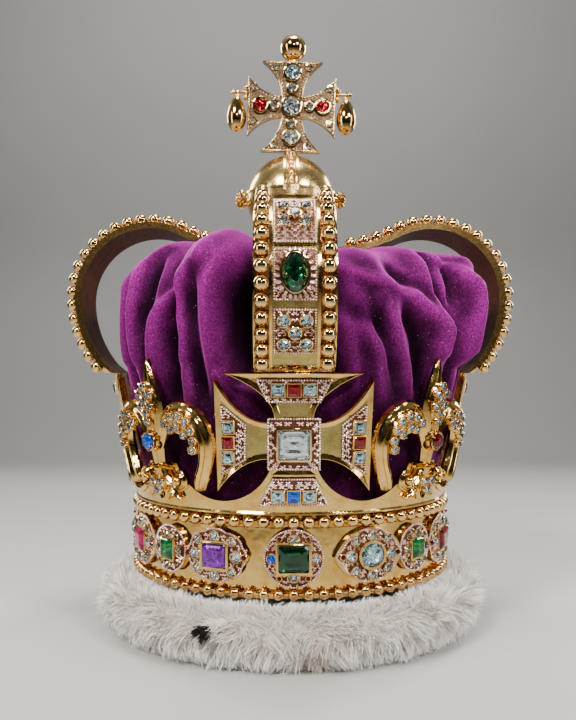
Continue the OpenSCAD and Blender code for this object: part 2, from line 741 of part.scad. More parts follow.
module orb() {
    color(gold) {
        translate([0, 0, orb_z]) sphere(orb_r, $fn = 96);
        translate([0, 0, crossing_z + plate_in]) linear_extrude(arch_t) square(arch_w - 2*fit, center = true);
        translate([0, 0, crossing_z + plate_in + 1]) cylinder(r = orb_collar_r, h = orb_collar_h + arch_t + 2);
        translate([0, 0, orb_z - belt_h/2]) {
            cylinder(r = orb_r + 0.7, h = belt_h, $fn = 96);
            cylinder(r = orb_r + 1.6, h = 1, $fn = 96);
            translate([0, 0, belt_h - 1]) cylinder(r = orb_r + 1.6, h = 1, $fn = 96);
        }
        for (s = [-1, 1]) translate([s*(strip_w/2 - 0.7), 0, orb_z]) rotate([0, 90, 0]) intersection() {
            cylinder(r = orb_r + 1.5, h = 1.4, center = true, $fn = 96);
            translate([-60, -60, -1]) cube([60, 120, 2]);
        }
        for (s = [-1, 1]) rotate([0, 0, 90*s]) translate([0, -orb_r + 1, orb_z]) rotate([90, 0, 0])
            cylinder(r = 4.4, h = 6.5, $fn = 32);
        translate([0, 0, orb_top_z - 2]) cylinder(r = 4.2, h = top_cross_foot - orb_top_z + 2 - fit, $fn = 32);
        strip_beads();
    }
}

module strip_beads() {
    bead = 3.4;
    turn = 9.6;
    for (k = [1:8], s = [-1, 1]) rotate([s*(90 - k*turn), 0, 0]) translate([0, 0, 0]) strip_bead(s, k, bead, turn);
}

module strip_bead(s, k, bead, turn) {
    rotate([-s*(90 - k*turn), 0, 0]) translate([0, 0, orb_z]) rotate([s*(90 - k*turn), 0, 0])
        translate([0, 0, orb_r + 0.3]) sphere(d = bead, $fn = 24);
}

// The top cross, its ball and its two drops lean a little together

module finial() {
    translate([0, 0, top_cross_foot]) rotate([0, finial_tilt, 0]) translate([0, 0, -top_cross_foot]) children();
}

function arm_curve(arm, n = 6) = flare_curve([top_waist, top_waist], [top_tip_half, arm], n);

module top_cross_outline() {
    up = top_cross_h/2;
    out = top_cross_w/2;
    quarter = concat(backwards(swapped(arm_curve(out))), arm_curve(up));
    half = concat([for (p = backwards(quarter)) [p[0], -p[1]]], quarter);
    polygon(concat(half, mirrored(backwards(half))));
}

module top_cross() {
    color(gold) finial() {
        translate([0, 0, top_cross_z]) rotate([90, 0, 0]) {
            linear_extrude(top_cross_t, center = true) top_cross_outline();
            linear_extrude(top_cross_t + 1.6, center = true) difference() {
                top_cross_outline();
                offset(delta = -1.2) top_cross_outline();
            }
            for (p = top_stones) translate([p[0], p[1], top_cross_t/2 - 0.5]) difference() {
                cylinder(d = p[2] + 2, h = 2.2, $fn = 32);
                translate([0, 0, 0.8]) cylinder(d = p[2] + 2*fit, h = 4, $fn = 32);
            }
        }
        for (s = [-1, 1]) {
            translate([s*(top_cross_w/2 - 1), 0, pin_z]) rotate([0, s*90, 0])
                cylinder(r = pin_r, h = drop_x - top_cross_w/2 + 3.4, $fn = 24);
            translate([s*(drop_x + 2.6), 0, pin_z]) sphere(r = 1.5, $fn = 24);
            for (h = [-2.6, 2.6]) translate([s*(top_cross_w/2 + 0.6), 0, pin_z + h]) sphere(r = 1.7, $fn = 24);
        }
    }
}

top_stones = [
    [0, 0, 11.5], [-20.2, -0.5, 8.4], [20.2, -0.5, 8.4], [0, 21.8, 9], [0, -20.4, 9],
    [-11.2, 0, 5.2], [11.2, 0, 5.2], [0, 11.4, 5.2], [0, -11.2, 5.2]
];

module top_cross_stones() {
    color("#dfeef0") finial() translate([0, 0, top_cross_z]) rotate([90, 0, 0])
        for (p = top_stones) translate([p[0], p[1], top_cross_t/2 + 0.3 + fit + 0.1*p[2]]) round_stone(p[2]);
}

module top_ball() {
    color(gold) finial() {
        translate([0, 0, ball_z]) sphere(d = ball_d, $fn = 64);
        translate([0, 0, top_cross_z + top_cross_h/2 + fit]) cylinder(r = 2.4, h = 4, $fn = 32);
    }
}

module pear_drop(side) {
    ring_z = pin_z - 0.3;
    top_z = ring_z - 3.2;
    r = drop_d/2;
    color(gold) finial() translate([side*drop_x, 0, 0]) {
        rotate_extrude($fn = 48) polygon(concat(
            [[0, top_z], [1.6, top_z], [1.6, top_z - 1.6]],
            [for (k = [0:14]) let (t = k/14)
                [max(0.9*r*pow(sin(180*pow(t, 0.72)), 0.8)*(1 - 0.12*t) + 1.6*(1 - t), 0), top_z - 1.6 - (drop_l - 4)*t]],
            [[0, top_z - 1.6 - (drop_l - 4)]]
        ));
        translate([0, 0, ring_z]) rotate([0, 90, 0]) rotate_extrude($fn = 32) translate([2.7, 0]) circle(0.8, $fn = 24);
        translate([0, 0, top_z - 0.4]) cylinder(r = 1.2, h = 0.8, $fn = 24);
    }
}

// Stones

module band_stone(k) {
    jewel = band_jewels[k];
    l = jewel_length(k);
    w = jewel_width(k);
    color(jewel[2]) on_band(jewel_turn(k), jewel_z, setting_t + 1 + fit) {
        if (jewel[1] == "step") step_stone(l, w, 2.6, 0.9);
        if (jewel[1] == "oval") oval_stone(l, w, 2.6, 0.9);
    }
}

// Four small stones round each main stone of the discs and rosettes
module band_small_stones() {
    color("#dfeef0") for (k = [0:15], q = [0:3]) if (k % 4 != 2) {
        corner = k % 2 == 1;
        d = small_stone_d*(!corner && q % 2 == 1 ? 0.7 : 0.85);
        away = fit + 1 + 0.3 + d/2;
        across = (jewel_length(k)/2 + away + (corner ? 1.2 : 0))*(corner ? [1, -1, -1, 1] : [1, 0, -1, 0])[q];
        up = (jewel_width(k)/2 + away - (corner ? 1 : 0))*(corner ? [1, 1, -1, -1] : [0, 1, 0, -1])[q];
        on_band(jewel_turn(k) + atan(across/band_r), jewel_z + up, setting_t + fit + 0.1*d) round_stone(d);
    }
}

module cross_stone() {
    color("#dfeef0") on_wall(0, cross_z, arm_plaque_t + 1 + fit) step_stone(centre_stone, centre_stone, 3.2, 0.9);
}

module cross_small_stones() {
    for (a = quarter_turns, k = [-1:1]) rotate([0, 0, a]) {
        color(k == 0 ? "#a3122a" : "#dfeef0") {
            on_wall(k*arm_pitch, cross_top_z - 8.8, stone_seat + 0.9) square_stone(arm_stone);
            for (s = [-1, 1]) on_wall(s*(cross_side_half - 7.8), cross_z + k*arm_pitch + 0.6, stone_seat + 0.9)
                square_stone(arm_stone);
        }
        color(k == 0 ? "#2a6ed8" : "#dfeef0") on_wall(k*arm_pitch, foot_stone_z, stone_seat + 0.9)
            square_stone(arm_stone);
    }
}

module arch_stone() {
    color("#0b3d2e") on_arch(low_len, 0, plate_out + arm_plaque_t + 0.9 + fit) oval_stone(oval_w, oval_l, 3.4, 0.8);
}

module arch_small_stones() {
    color("#dfeef0") for (a = quarter_turns, m = [-1, 1]) rotate([0, 0, a]) {
        s0 = along_arch(m > 0 ? (plaque_top[0] + plaque_top[1])/2 - 2 : (plaque_low[0] + plaque_low[1])/2);
        for (q = [[0, 0], [-1, -1], [1, -1], [-1, 1], [1, 1]])
            on_arch(s0 + q[1]*panel_stone_d*0.95, q[0]*panel_stone_d*0.86, plate_out + arm_plaque_t + fit
                + 0.1*panel_stone_d) round_stone(panel_stone_d*(q[0] == 0 ? 1 : 0.9));
    }
}

module lily_stone() {
    color("#2a4fb0") on_wall(0, rim_z + lily_stone_rise, rim_proud + 1 + mount_h + fit + 0.1*flower_stone_d)
        round_stone(flower_stone_d);
}

module lily_small_stones() {
    color("#dfeef0") for (a = flower_turns, p = lily_stones) rotate([0, 0, a])
        on_wall(p[0], rim_z + p[1], rim_proud + mount_h + fit + 0.1*flower_small_d) round_stone(flower_small_d);
}

// The velvet cap: rings of points that follow the table of folds

cap_steps = 64;
function turn_gap(a, b) = let (d = (a - b + 540) % 360 - 180) d;
function fold_sum(a, column) = let (parts = [for (f = cap_folds) f[column]*exp(-pow(turn_gap(a, f[0])/f[3], 2))])
    parts*[for (p = parts) 1];
function crease(a) = 1.3*sin(11*a + 40) + 0.9*sin(17*a + 100);
function cap_point(a, s, inset) = let (
    ring = spline_row(cap_rings, s),
    full_r = ring[0]*head_r + ring[2]*fold_sum(a, 1) + ring[2]*crease(a),
    z = rim_z + ring[1]*cap_rise + ring[3]*fold_sum(a, 2) - inset*max(0, s - 6)/6,
    held_r = z < rim_z + 3 ? head_r - fit
        : wall_r(z) - gallery_wall - 1 + 1.5*max(0, z - cross_top_z - 4),
    r = min(full_r, held_r) - inset
) [r*sin(a), -r*cos(a), z];

module velvet_cap() {
    n = cap_steps;
    m = len(cap_rings) - 1;
    rows = m + 1;
    outer = [for (s = [0:m], k = [0:n - 1]) cap_point(k*360/n, s, 0)];
    inner = [for (s = [0:m], k = [0:n - 1]) cap_point(k*360/n, s, velvet_t)];
    top_out = len(outer) + len(inner);
    side = [for (s = [0:m - 1], k = [0:n - 1], half = [0, 1])
        let (a = s*n + k, b = s*n + (k + 1) % n, c = a + n, d = b + n) half == 0 ? [a, b, d] : [a, d, c]];
    lining = [for (f = side) [f[2] + n*rows, f[1] + n*rows, f[0] + n*rows]];
    hem = [for (k = [0:n - 1], half = [0, 1]) let (a = k, b = (k + 1) % n, c = a + n*rows, d = b + n*rows)
        half == 0 ? [b, a, d] : [a, c, d]];
    lid = [for (k = [0:n - 1]) [m*n + k, m*n + (k + 1) % n, top_out]];
    lid_in = [for (k = [0:n - 1]) [n*rows + m*n + (k + 1) % n, n*rows + m*n + k, top_out + 1]];
    color("#7a1f7d") polyhedron(
        points = concat(outer, inner, [[0, 0, rim_z + cap_rise], [0, 0, rim_z + cap_rise - velvet_t]]),
        faces = [for (f = concat(side, lining, hem, lid, lid_in)) [f[2], f[1], f[0]]]
    );
}

// The fur rim: a padded ring whose outside stands out in staggered locks

fur_steps = 96;
function lock_shape(k, j) = ((k + (j % 2 == 0 ? 0 : 1)) % 2 == 0 ? 1 : -0.35) + 0.25*sin(k*37 + j*71);
function fur_point(k, j) = let (
    a = k*360/fur_steps, row = fur_ring[j],
    out = row[0] <= 10.4 ? row[0] : 10.4 + (row[0] - 10.4)*fur_puff/18.1,
    r = head_r + out + row[2]*lock_depth*lock_shape(k, j)*0.6,
    z = row[1]*fur_h + (j > 4 && j < 10 ? row[2]*lock_depth*0.3*lock_shape(k, j) : 0)
) [r*sin(a), -r*cos(a), z];

module fur_rim() {
    m = len(fur_ring);
    n = fur_steps;
    color("#ece7df") intersection() {
        polyhedron(
            points = [for (k = [0:n - 1], j = [0:m - 1]) fur_point(k, j)],
            faces = [for (k = [0:n - 1], j = [0:m - 1], half = [0, 1]) let (
                a = k*m + j, b = k*m + (j + 1) % m, c = ((k + 1) % n)*m + j, d = ((k + 1) % n)*m + (j + 1) % m
            ) half == 0 ? [a, b, d] : [a, d, c]]
        );
        cylinder(r = head_r + 60, h = fur_h + 20, $fn = 96);
    }
}

circlet();
upper_beads();
lower_beads();
for (k = [0:3]) {
    rotate([0, 0, 90*k]) cross_plate();
    rotate([0, 0, 45 + 90*k]) lily();
    rotate([0, 0, 90*k]) arch();
    rotate([0, 0, 90*k]) arch_beads();
    rotate([0, 0, 90*k]) cross_stone();
    rotate([0, 0, 90*k]) arch_stone();
    rotate([0, 0, 45 + 90*k]) lily_stone();
}
orb();
top_cross();
top_ball();
pear_drop(-1);  // drop_left
pear_drop(1);  // drop_right
velvet_cap();
fur_rim();
for (k = [0:15]) band_stone(k);
band_small_stones();
cross_small_stones();
arch_small_stones();
lily_small_stones();
top_cross_stones();
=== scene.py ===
# %% [markdown]
# An arched crown of polished gold over a purple velvet cap, standing on a thick roll of white fur.
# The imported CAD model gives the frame: every piece made below is in metres and in the same frame, so it goes
# where the CAD says. Rigid metal keeps its CAD solid where that looks right. Cloth, fur, cut stones and fine
# relief are made here, because a solid with few faces can't show pile, hair, facets and scrollwork.

import math

import bmesh
import bpy
import numpy as np
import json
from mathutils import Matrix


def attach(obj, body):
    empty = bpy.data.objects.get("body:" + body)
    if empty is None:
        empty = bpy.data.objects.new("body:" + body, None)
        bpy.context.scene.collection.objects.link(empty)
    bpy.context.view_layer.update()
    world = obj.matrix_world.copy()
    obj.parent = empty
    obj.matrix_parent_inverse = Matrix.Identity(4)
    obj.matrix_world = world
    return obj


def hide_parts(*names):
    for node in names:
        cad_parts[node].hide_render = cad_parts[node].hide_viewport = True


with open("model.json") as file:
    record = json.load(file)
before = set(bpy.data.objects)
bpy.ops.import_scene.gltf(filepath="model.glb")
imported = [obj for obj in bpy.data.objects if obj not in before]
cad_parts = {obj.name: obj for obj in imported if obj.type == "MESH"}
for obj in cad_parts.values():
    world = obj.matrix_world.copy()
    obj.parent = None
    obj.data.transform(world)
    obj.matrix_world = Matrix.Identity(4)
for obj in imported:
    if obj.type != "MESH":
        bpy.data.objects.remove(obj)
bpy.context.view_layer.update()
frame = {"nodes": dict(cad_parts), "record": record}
nodes = frame["nodes"]
MM = 0.001

# %% [markdown]
# The crown is set out by a few sizes, in millimetres. They repeat the named sizes of the part's source, so a
# stone or scroll made here lies on the metal that carries it. Three ways to place relief follow: on the
# upright band, on the wall that leans outward above it, and along the curved arches.

# %% Sizes shared with the part
HEAD_R = 91.0
BAND_R = 93.5
RIM_Z = 79.1
JEWEL_Z = 54.8
WALL_R0 = 96.8
LEAN = math.radians(10)
TOOTH_Z = 102.8
CROSS_Z = 115.3
CROSS_TOP_Z = 152.0
GALLERY_WALL = 2.4
ARCH_REACH = 135.5
ARCH_WIDE_Z = 199.7
ARCH_LOW_R = 70.0
ARCH_TOP_R = 48.0
ARCH_SWEEP = math.radians(117)
ARCH_DIP_R = 92.0
ARCH_W = 41.0
BEAD_D = 6.2
PLATE_OUT = -BEAD_D / 2 - 0.2
PLATE_IN = PLATE_OUT - 2.4
PLAQUE_T = 1.5
ORB_R = 28.0
TOP_CROSS_HALF = 29.5
FINIAL_TILT = math.radians(1.5)
QUARTERS = {"front": 0, "right": 90, "back": 180, "left": 270}
CORNERS = {"front_right": 45, "back_right": 135, "back_left": 225, "front_left": 315}

foot_angle = math.asin((ARCH_WIDE_Z - CROSS_TOP_Z - 1.6) / ARCH_LOW_R)
low_centre = np.array([ARCH_REACH - ARCH_LOW_R, ARCH_WIDE_Z])
top_centre = np.array([ARCH_REACH - ARCH_TOP_R, ARCH_WIDE_Z])
sweep_dir = np.array([math.cos(ARCH_SWEEP), math.sin(ARCH_SWEEP)])
dip_centre = top_centre + (ARCH_TOP_R + ARCH_DIP_R) * sweep_dir
low_len = ARCH_LOW_R * foot_angle
top_len = ARCH_TOP_R * ARCH_SWEEP
crossing_z = dip_centre[1] - ARCH_DIP_R
arch_len = low_len + top_len + ARCH_DIP_R * (ARCH_SWEEP - math.pi / 2)
orb_z = crossing_z + PLATE_OUT + 8 + ORB_R - 0.6
top_cross_foot = orb_z + ORB_R + 2.6
top_cross_z = top_cross_foot + TOP_CROSS_HALF
print("heights in mm: crossing", round(crossing_z, 1), "orb", round(orb_z, 1),
      "top cross", round(top_cross_z, 1))


# %% Ways to place relief on the metal
def wall_radius(z):
    return WALL_R0 + (z - RIM_Z) * math.tan(LEAN)


def turned(points, degrees):
    """Points turned round the crown's axis, seen from above."""
    a = math.radians(degrees)
    c, s = math.cos(a), math.sin(a)
    x, y, z = points.T
    return np.stack([x * c - y * s, x * s + y * c, z], 1)


def on_band(points, turn=0.0):
    """Points given as across, height and proud of the band's upright wall."""
    across, z, proud = points.T
    a = np.arcsin(np.clip(across / BAND_R, -1, 1))
    reach = BAND_R + proud
    return turned(np.stack([reach * np.sin(a), -reach * np.cos(a), z], 1), turn)


def on_wall(points, turn=0.0):
    """Points given as across, height and proud of the leaning wall."""
    across, z, proud = points.T
    r = wall_radius(z)
    a = np.arcsin(np.clip(across / r, -1, 1))
    reach = r + proud * math.cos(LEAN)
    return turned(np.stack([reach * np.sin(a), -reach * np.cos(a), z - proud * math.sin(LEAN)], 1), turn)


def on_arch(points, turn=0.0):
    """Points given as across, distance along the bead line and height over it."""
    across, s, off = points.T
    angle = np.where(s < low_len, s / ARCH_LOW_R - foot_angle,
                     np.where(s < low_len + top_len, (s - low_len) / ARCH_TOP_R,
                              ARCH_SWEEP - (s - low_len - top_len) / ARCH_DIP_R))
    n = np.stack([np.cos(angle), np.sin(angle)], 1)
    low = low_centre + (ARCH_LOW_R + off)[:, None] * n
    top = top_centre + (ARCH_TOP_R + off)[:, None] * n
    dip = dip_centre - (ARCH_DIP_R - off)[:, None] * n
    rz = np.where((s < low_len)[:, None], low, np.where((s < low_len + top_len)[:, None], top, dip))
    return turned(np.stack([across, -rz[:, 0], rz[:, 1]], 1), turn)


def finial(points):
    """The top cross, its ball and drops lean a little to the right together."""
    c, s = math.cos(FINIAL_TILT), math.sin(FINIAL_TILT)
    x, y, z = points.T
    h = z - top_cross_foot
    return np.stack([x * c + h * s, y, top_cross_foot + h * c - x * s], 1)


# %% [markdown]
# Small shapes are collected in a heap and become one mesh, so a field of stones or a plaque of scrolls is one
# piece. A heap keeps a material number for each face. Edges that fold by more than a set angle are marked
# sharp and the rest is smooth, which is how polished metal with crisp bevels is shaded.

# %% Heaps of shapes
class Heap:
    def __init__(self):
        self.points, self.faces, self.paint, self.count = [], [], [], 0

    def add(self, points, faces, paint=0):
        self.points.append(np.asarray(points, float))
        self.faces += [[i + self.count for i in f] for f in faces]
        self.paint += [paint] * len(faces) if isinstance(paint, int) else list(paint)
        self.count += len(points)

    def make(self, name, materials, slot, sharp=35.0, flat=False):
        """The heap as one piece that rides on the crown."""
        mesh = bpy.data.meshes.new(name)
        mesh.from_pydata((np.concatenate(self.points) * MM).tolist(), [], self.faces)
        for m in materials:
            mesh.materials.append(m)
        mesh.polygons.foreach_set("material_index", self.paint)
        bm = bmesh.new()
        bm.from_mesh(mesh)
        bmesh.ops.recalc_face_normals(bm, faces=bm.faces)
        for f in bm.faces:
            f.smooth = not flat
        for e in bm.edges:
            e.smooth = len(e.link_faces) == 2 and e.calc_face_angle() < math.radians(sharp)
        bm.to_mesh(mesh)
        bm.free()
        obj = bpy.data.objects.new(name, mesh)
        bpy.context.scene.collection.objects.link(obj)
        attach(obj, "root")
        triangles = sum(len(f) - 2 for f in self.faces)
        print(name, "has", triangles, "triangles")
        return obj


def joined_rings(rings, caps=True):
    """Faces between rings of points that all have the same count, with or without flat ends."""
    n = len(rings[0])
    faces = []
    for k in range(len(rings) - 1):
        for j in range(n):
            a, b = k * n + j, k * n + (j + 1) % n
            faces.append([a, b, b + n, a + n])
    if caps:
        faces.append(list(range(n))[::-1])
        faces.append([(len(rings) - 1) * n + j for j in range(n)])
    return np.concatenate(rings), faces


def tube(path, radius, sides=6, squash=1.0, up=(0, 0, 1), ring=False):
    """A round or flattened wire along a path, as thick at each point as radius says."""
    path = np.asarray(path, float)
    radius = np.broadcast_to(radius, len(path))
    step = np.roll(path, -1, 0) - np.roll(path, 1, 0) if ring else np.gradient(path, axis=0)
    step /= np.linalg.norm(step, axis=1)[:, None] + 1e-9
    up = np.broadcast_to(np.asarray(up, float), path.shape)
    side = np.cross(step, up)
    side /= np.linalg.norm(side, axis=1)[:, None] + 1e-9
    over = np.cross(side, step)
    t = np.arange(sides) * 2 * math.pi / sides
    rings = [p + r * (np.cos(t)[:, None] * s + squash * np.sin(t)[:, None] * o)
             for p, r, s, o in zip(path, radius, side, over)]
    if ring:
        return joined_rings(rings + [rings[0]], caps=False)
    return joined_rings(rings)


def ball(centre, radius, segments=14, rings=8):
    """A round bead."""
    a = np.linspace(0.06, math.pi - 0.06, rings)
    t = np.arange(segments) * 2 * math.pi / segments
    loops = [np.stack([radius * math.sin(v) * np.cos(t), radius * math.sin(v) * np.sin(t),
                       np.full(segments, radius * math.cos(v))], 1) + centre for v in a]
    return joined_rings(loops)


# %% [markdown]
# Metal on such a crown is never one flat tone. Polished gilding has faint waves from hammering, darker and
# redder gold where polish doesn't reach, and fine rubbing marks. One node group gives all metals that life:
# it puts out a colour, a roughness and a normal, and each metal sets its own two tones, grain and depth.

# %% A group for hand-finished metal
def new_group(name, inputs, outputs):
    tree = bpy.data.node_groups.new(name, "ShaderNodeTree")
    for label, kind, value in inputs:
        socket = tree.interface.new_socket(label, in_out="INPUT", socket_type="NodeSocket" + kind)
        socket.default_value = value
    for label, kind in outputs:
        tree.interface.new_socket(label, in_out="OUTPUT", socket_type="NodeSocket" + kind)
    return tree, tree.nodes.new("NodeGroupInput"), tree.nodes.new("NodeGroupOutput")


def node(tree, kind, links=(), **settings):
    """A node with its settings, its plain inputs and the sockets that feed it."""
    n = tree.nodes.new("ShaderNode" + kind)
    for key, value in settings.items():
        setattr(n, key, value)
    for key, value in dict(links).items():
        target = n.inputs[key]
        if hasattr(value, "links"):
            tree.links.new(value, target)
        else:
            target.default_value = value
    return n


def ramp(tree, source, stops):
    """A colour ramp with stops of place and grey or colour."""
    n = node(tree, "ValToRGB", {"Fac": source})
    while len(n.color_ramp.elements) < len(stops):
        n.color_ramp.elements.new(0.5)
    for element, (place, tone) in zip(n.color_ramp.elements, stops):
        element.position = place
        element.color = (tone, tone, tone, 1) if isinstance(tone, (int, float)) else (*tone, 1)
    return n.outputs["Color"]


def mixed(tree, factor, a, b, blend="MIX"):
    n = node(tree, "Mix", {}, data_type="RGBA", blend_type=blend)
    for socket, value in ((n.inputs["Factor"], factor), (n.inputs[6], a), (n.inputs[7], b)):
        if hasattr(value, "links"):
            tree.links.new(value, socket)
        else:
            socket.default_value = value
    return n.outputs[2]


def object_place(tree):
    return node(tree, "TexCoord").outputs["Object"]


metal_group, gin, gout = new_group(
    "hand_finished_metal",
    [("Bright Tone", "Color", (0.8, 0.6, 0.25, 1)), ("Deep Tone", "Color", (0.5, 0.3, 0.1, 1)),
     ("Wave Scale", "Float", 40.0), ("Grain Scale", "Float", 900.0), ("Smooth", "Float", 0.12),
     ("Dull", "Float", 0.35), ("Wave Depth", "Float", 0.3), ("Grain Depth", "Float", 0.1)],
    [("Color", "Color"), ("Roughness", "Float"), ("Normal", "Vector")])
place = object_place(metal_group)
wave = node(metal_group, "TexNoise", {"Vector": place, "Scale": gin.outputs["Wave Scale"], "Detail": 3.0})
grain = node(metal_group, "TexNoise", {"Vector": place, "Scale": gin.outputs["Grain Scale"], "Detail": 2.0})
stain = node(metal_group, "TexNoise", {"Vector": place, "Scale": 120.0, "Detail": 5.0, "Roughness": 0.65})
tone = ramp(metal_group, stain.outputs["Fac"], [(0.42, 0.0), (0.68, 1.0)])
gold_tone = mixed(metal_group, tone, gin.outputs["Bright Tone"], gin.outputs["Deep Tone"])
metal_group.links.new(gold_tone, gout.inputs["Color"])
rub = ramp(metal_group, grain.outputs["Fac"], [(0.35, 0.0), (0.75, 1.0)])
rough = node(metal_group, "MapRange",
             {"Value": rub, "To Min": gin.outputs["Smooth"], "To Max": gin.outputs["Dull"]})
metal_group.links.new(rough.outputs["Result"], gout.inputs["Roughness"])
soft_bump = node(metal_group, "Bump", {"Height": wave.outputs["Fac"], "Strength": gin.outputs["Wave Depth"],
                                       "Distance": 0.002})
fine_bump = node(metal_group, "Bump", {"Height": grain.outputs["Fac"], "Strength": gin.outputs["Grain Depth"],
                                       "Distance": 0.0002, "Normal": soft_bump.outputs["Normal"]})
metal_group.links.new(fine_bump.outputs["Normal"], gout.inputs["Normal"])


def new_material(name):
    m = bpy.data.materials.new(name)
    m.use_nodes = True
    return m, m.node_tree, m.node_tree.nodes["Principled BSDF"]


def set_values(target, values):
    """Sets sockets of one node to plain values."""
    for label, value in values.items():
        target.inputs[label].default_value = value


def base_ramp(tree, shader, source, stops):
    """Gives a shader its colour from a ramp."""
    tree.links.new(ramp(tree, source, stops), shader.inputs["Base Color"])


def metal(name, bright, deep, smooth=0.12, dull=0.3, wave_scale=40.0, wave_depth=0.25, grain_scale=900.0,
          grain_depth=0.1):
    m, tree, shader = new_material(name)
    life = tree.nodes.new("ShaderNodeGroup")
    life.node_tree = metal_group
    set_values(life, {"Bright Tone": (*bright, 1), "Deep Tone": (*deep, 1), "Wave Scale": wave_scale,
                      "Grain Scale": grain_scale, "Smooth": smooth, "Dull": dull,
                      "Wave Depth": wave_depth, "Grain Depth": grain_depth})
    for label, target in (("Color", "Base Color"), ("Roughness", "Roughness"), ("Normal", "Normal")):
        tree.links.new(life.outputs[label], shader.inputs[target])
    shader.inputs["Metallic"].default_value = 1.0
    return m


# %% The crown's metals
polished_gold = metal("polished_gold", (0.78, 0.52, 0.16), (0.6, 0.34, 0.08), 0.07, 0.2, 60, 0.32)
bead_gold = metal("bead_gold", (0.85, 0.58, 0.22), (0.66, 0.36, 0.1), 0.05, 0.15, 120, 0.06)
satin_gold = metal("satin_gold", (0.45, 0.36, 0.13), (0.33, 0.25, 0.07), 0.22, 0.4, 40, 0.4, 1600, 0.1)
red_gold = metal("red_gold", (0.3, 0.13, 0.065), (0.2, 0.075, 0.04), 0.2, 0.36, 40, 0.2, 2600, 0.02)
set_values(red_gold.node_tree.nodes["Principled BSDF"],
           {"Specular Tint": (0.12, 0.05, 0.04, 1), "Metallic": 0.8})
edge_gold = metal("edge_gold", (0.56, 0.35, 0.12), (0.4, 0.22, 0.07), 0.16, 0.3, 60, 0.15, 2600, 0.015)
orb_gold = metal("orb_gold", (0.8, 0.57, 0.23), (0.66, 0.42, 0.14), 0.15, 0.3, 50, 0.15, 2600, 0.01)
copper_bead = metal("copper_bead", (0.8, 0.5, 0.19), (0.6, 0.32, 0.1), 0.07, 0.16, 120, 0.05)
rose_scroll = metal("rose_scroll", (0.95, 0.76, 0.68), (0.78, 0.46, 0.38), 0.2, 0.5, 300, 0.3, 2500, 0.3)
bronze_gold = metal("bronze_gold", (0.6, 0.42, 0.2), (0.38, 0.23, 0.09), 0.14, 0.32, 160, 0.3, 1500, 0.3)
bronze_field = metal("bronze_field", (0.17, 0.11, 0.06), (0.1, 0.06, 0.035), 0.25, 0.42, 260, 0.35, 1800, 0.3)
# painted shade: a dark metal for the sheet that stands for shadow behind the scrolls
painted_shade_ground = metal("painted_shade_ground", (0.16, 0.07, 0.045), (0.06, 0.025, 0.02), 0.4, 0.7, 200, 0.5, 2500, 0.5)

# %% [markdown]
# Cut stones are clear on top and foiled behind. The crown facets are tinted glass; the facets behind the
# girdle are a bright foil in the stone's colour. Light goes in, turns on the foil and comes back out, so each
# facet flashes by itself, with few light bounces to compute.

# %% Stone materials
def gem(name, tint, foil, ior, clear):
    glass, tree, shader = new_material(name + "_glass")
    cloud = node(tree, "TexNoise", {"Vector": object_place(tree), "Scale": 300.0})
    base_ramp(tree, shader, cloud.outputs["Fac"], [(0.3, [c * 0.85 for c in tint]), (0.7, tint)])
    set_values(shader, {"Roughness": 0.02, "Transmission Weight": clear, "IOR": ior})
    back, tree, shader = new_material(name + "_foil")
    fleck = node(tree, "TexVoronoi", {"Vector": object_place(tree), "Scale": 450.0})
    base_ramp(tree, shader, fleck.outputs["Distance"], [(0.1, [c * 0.45 for c in foil]), (0.6, foil)])
    set_values(shader, {"Metallic": 1.0, "Roughness": 0.14})
    return glass, back


# name: tint of the glass, foil behind it, index of refraction, how clear the glass is
GEMS = {
    "clear": ((0.96, 0.99, 1.0), (0.84, 0.92, 0.94), 1.7, 1.0),
    "aqua": ((0.86, 0.96, 0.98), (0.66, 0.86, 0.9), 1.65, 1.0),
    "green": ((0.02, 0.5, 0.2), (0.02, 0.55, 0.2), 1.5, 0.96),
    "dark_green": ((0.002, 0.15, 0.08), (0.0, 0.36, 0.17), 1.52, 0.98),
    "red": ((0.55, 0.004, 0.05), (0.7, 0.01, 0.08), 1.52, 0.97),
    "garnet": ((0.4, 0.01, 0.03), (0.4, 0.02, 0.05), 1.5, 0.95),
    "blue": ((0.04, 0.32, 0.95), (0.04, 0.32, 0.95), 1.5, 0.9),
    "violet": ((0.42, 0.045, 0.6), (0.55, 0.1, 0.8), 1.52, 0.97),
    "pink": ((0.92, 0.03, 0.4), (0.92, 0.05, 0.42), 1.5, 0.92),
}
gem_order = list(GEMS)
gem_materials = [m for name, values in GEMS.items() for m in gem(name, *values)]
print("stone colours", gem_order)

# %% [markdown]
# The camera stands where the photographer stood: half a metre in front, a little under half way up the crown
# and looking very slightly up. A polished thing shows its room, so the light matters as much as the metal.
# Gold looks like gold only when it has dark and bright things to reflect. So each light is a small box whose
# spread is held in, like a box with a grid: it lights the crown, leaves the floor in front dim and shows in
# the metal as a bright patch. Two tall strips draw long lines on the band, and a wide box lights the backdrop
# alone.

# %% Camera, lights, floor
scene = bpy.context.scene
CAMERA_REACH, CAMERA_HEIGHT, CAMERA_TURN = 0.5161, 0.14916, math.radians(1)
camera_data = bpy.data.cameras.new("camera")
camera_data.lens = 40.0
camera_data.sensor_width = 36.0
camera_data.clip_start = 0.01
camera_data.clip_end = 50.0
camera = bpy.data.objects.new("camera", camera_data)
scene.collection.objects.link(camera)
camera.location = (-CAMERA_REACH * math.sin(CAMERA_TURN), -CAMERA_REACH * math.cos(CAMERA_TURN),
                   CAMERA_HEIGHT)
camera.rotation_euler = (math.radians(91.281), 0, math.radians(-0.821))
scene.camera = camera


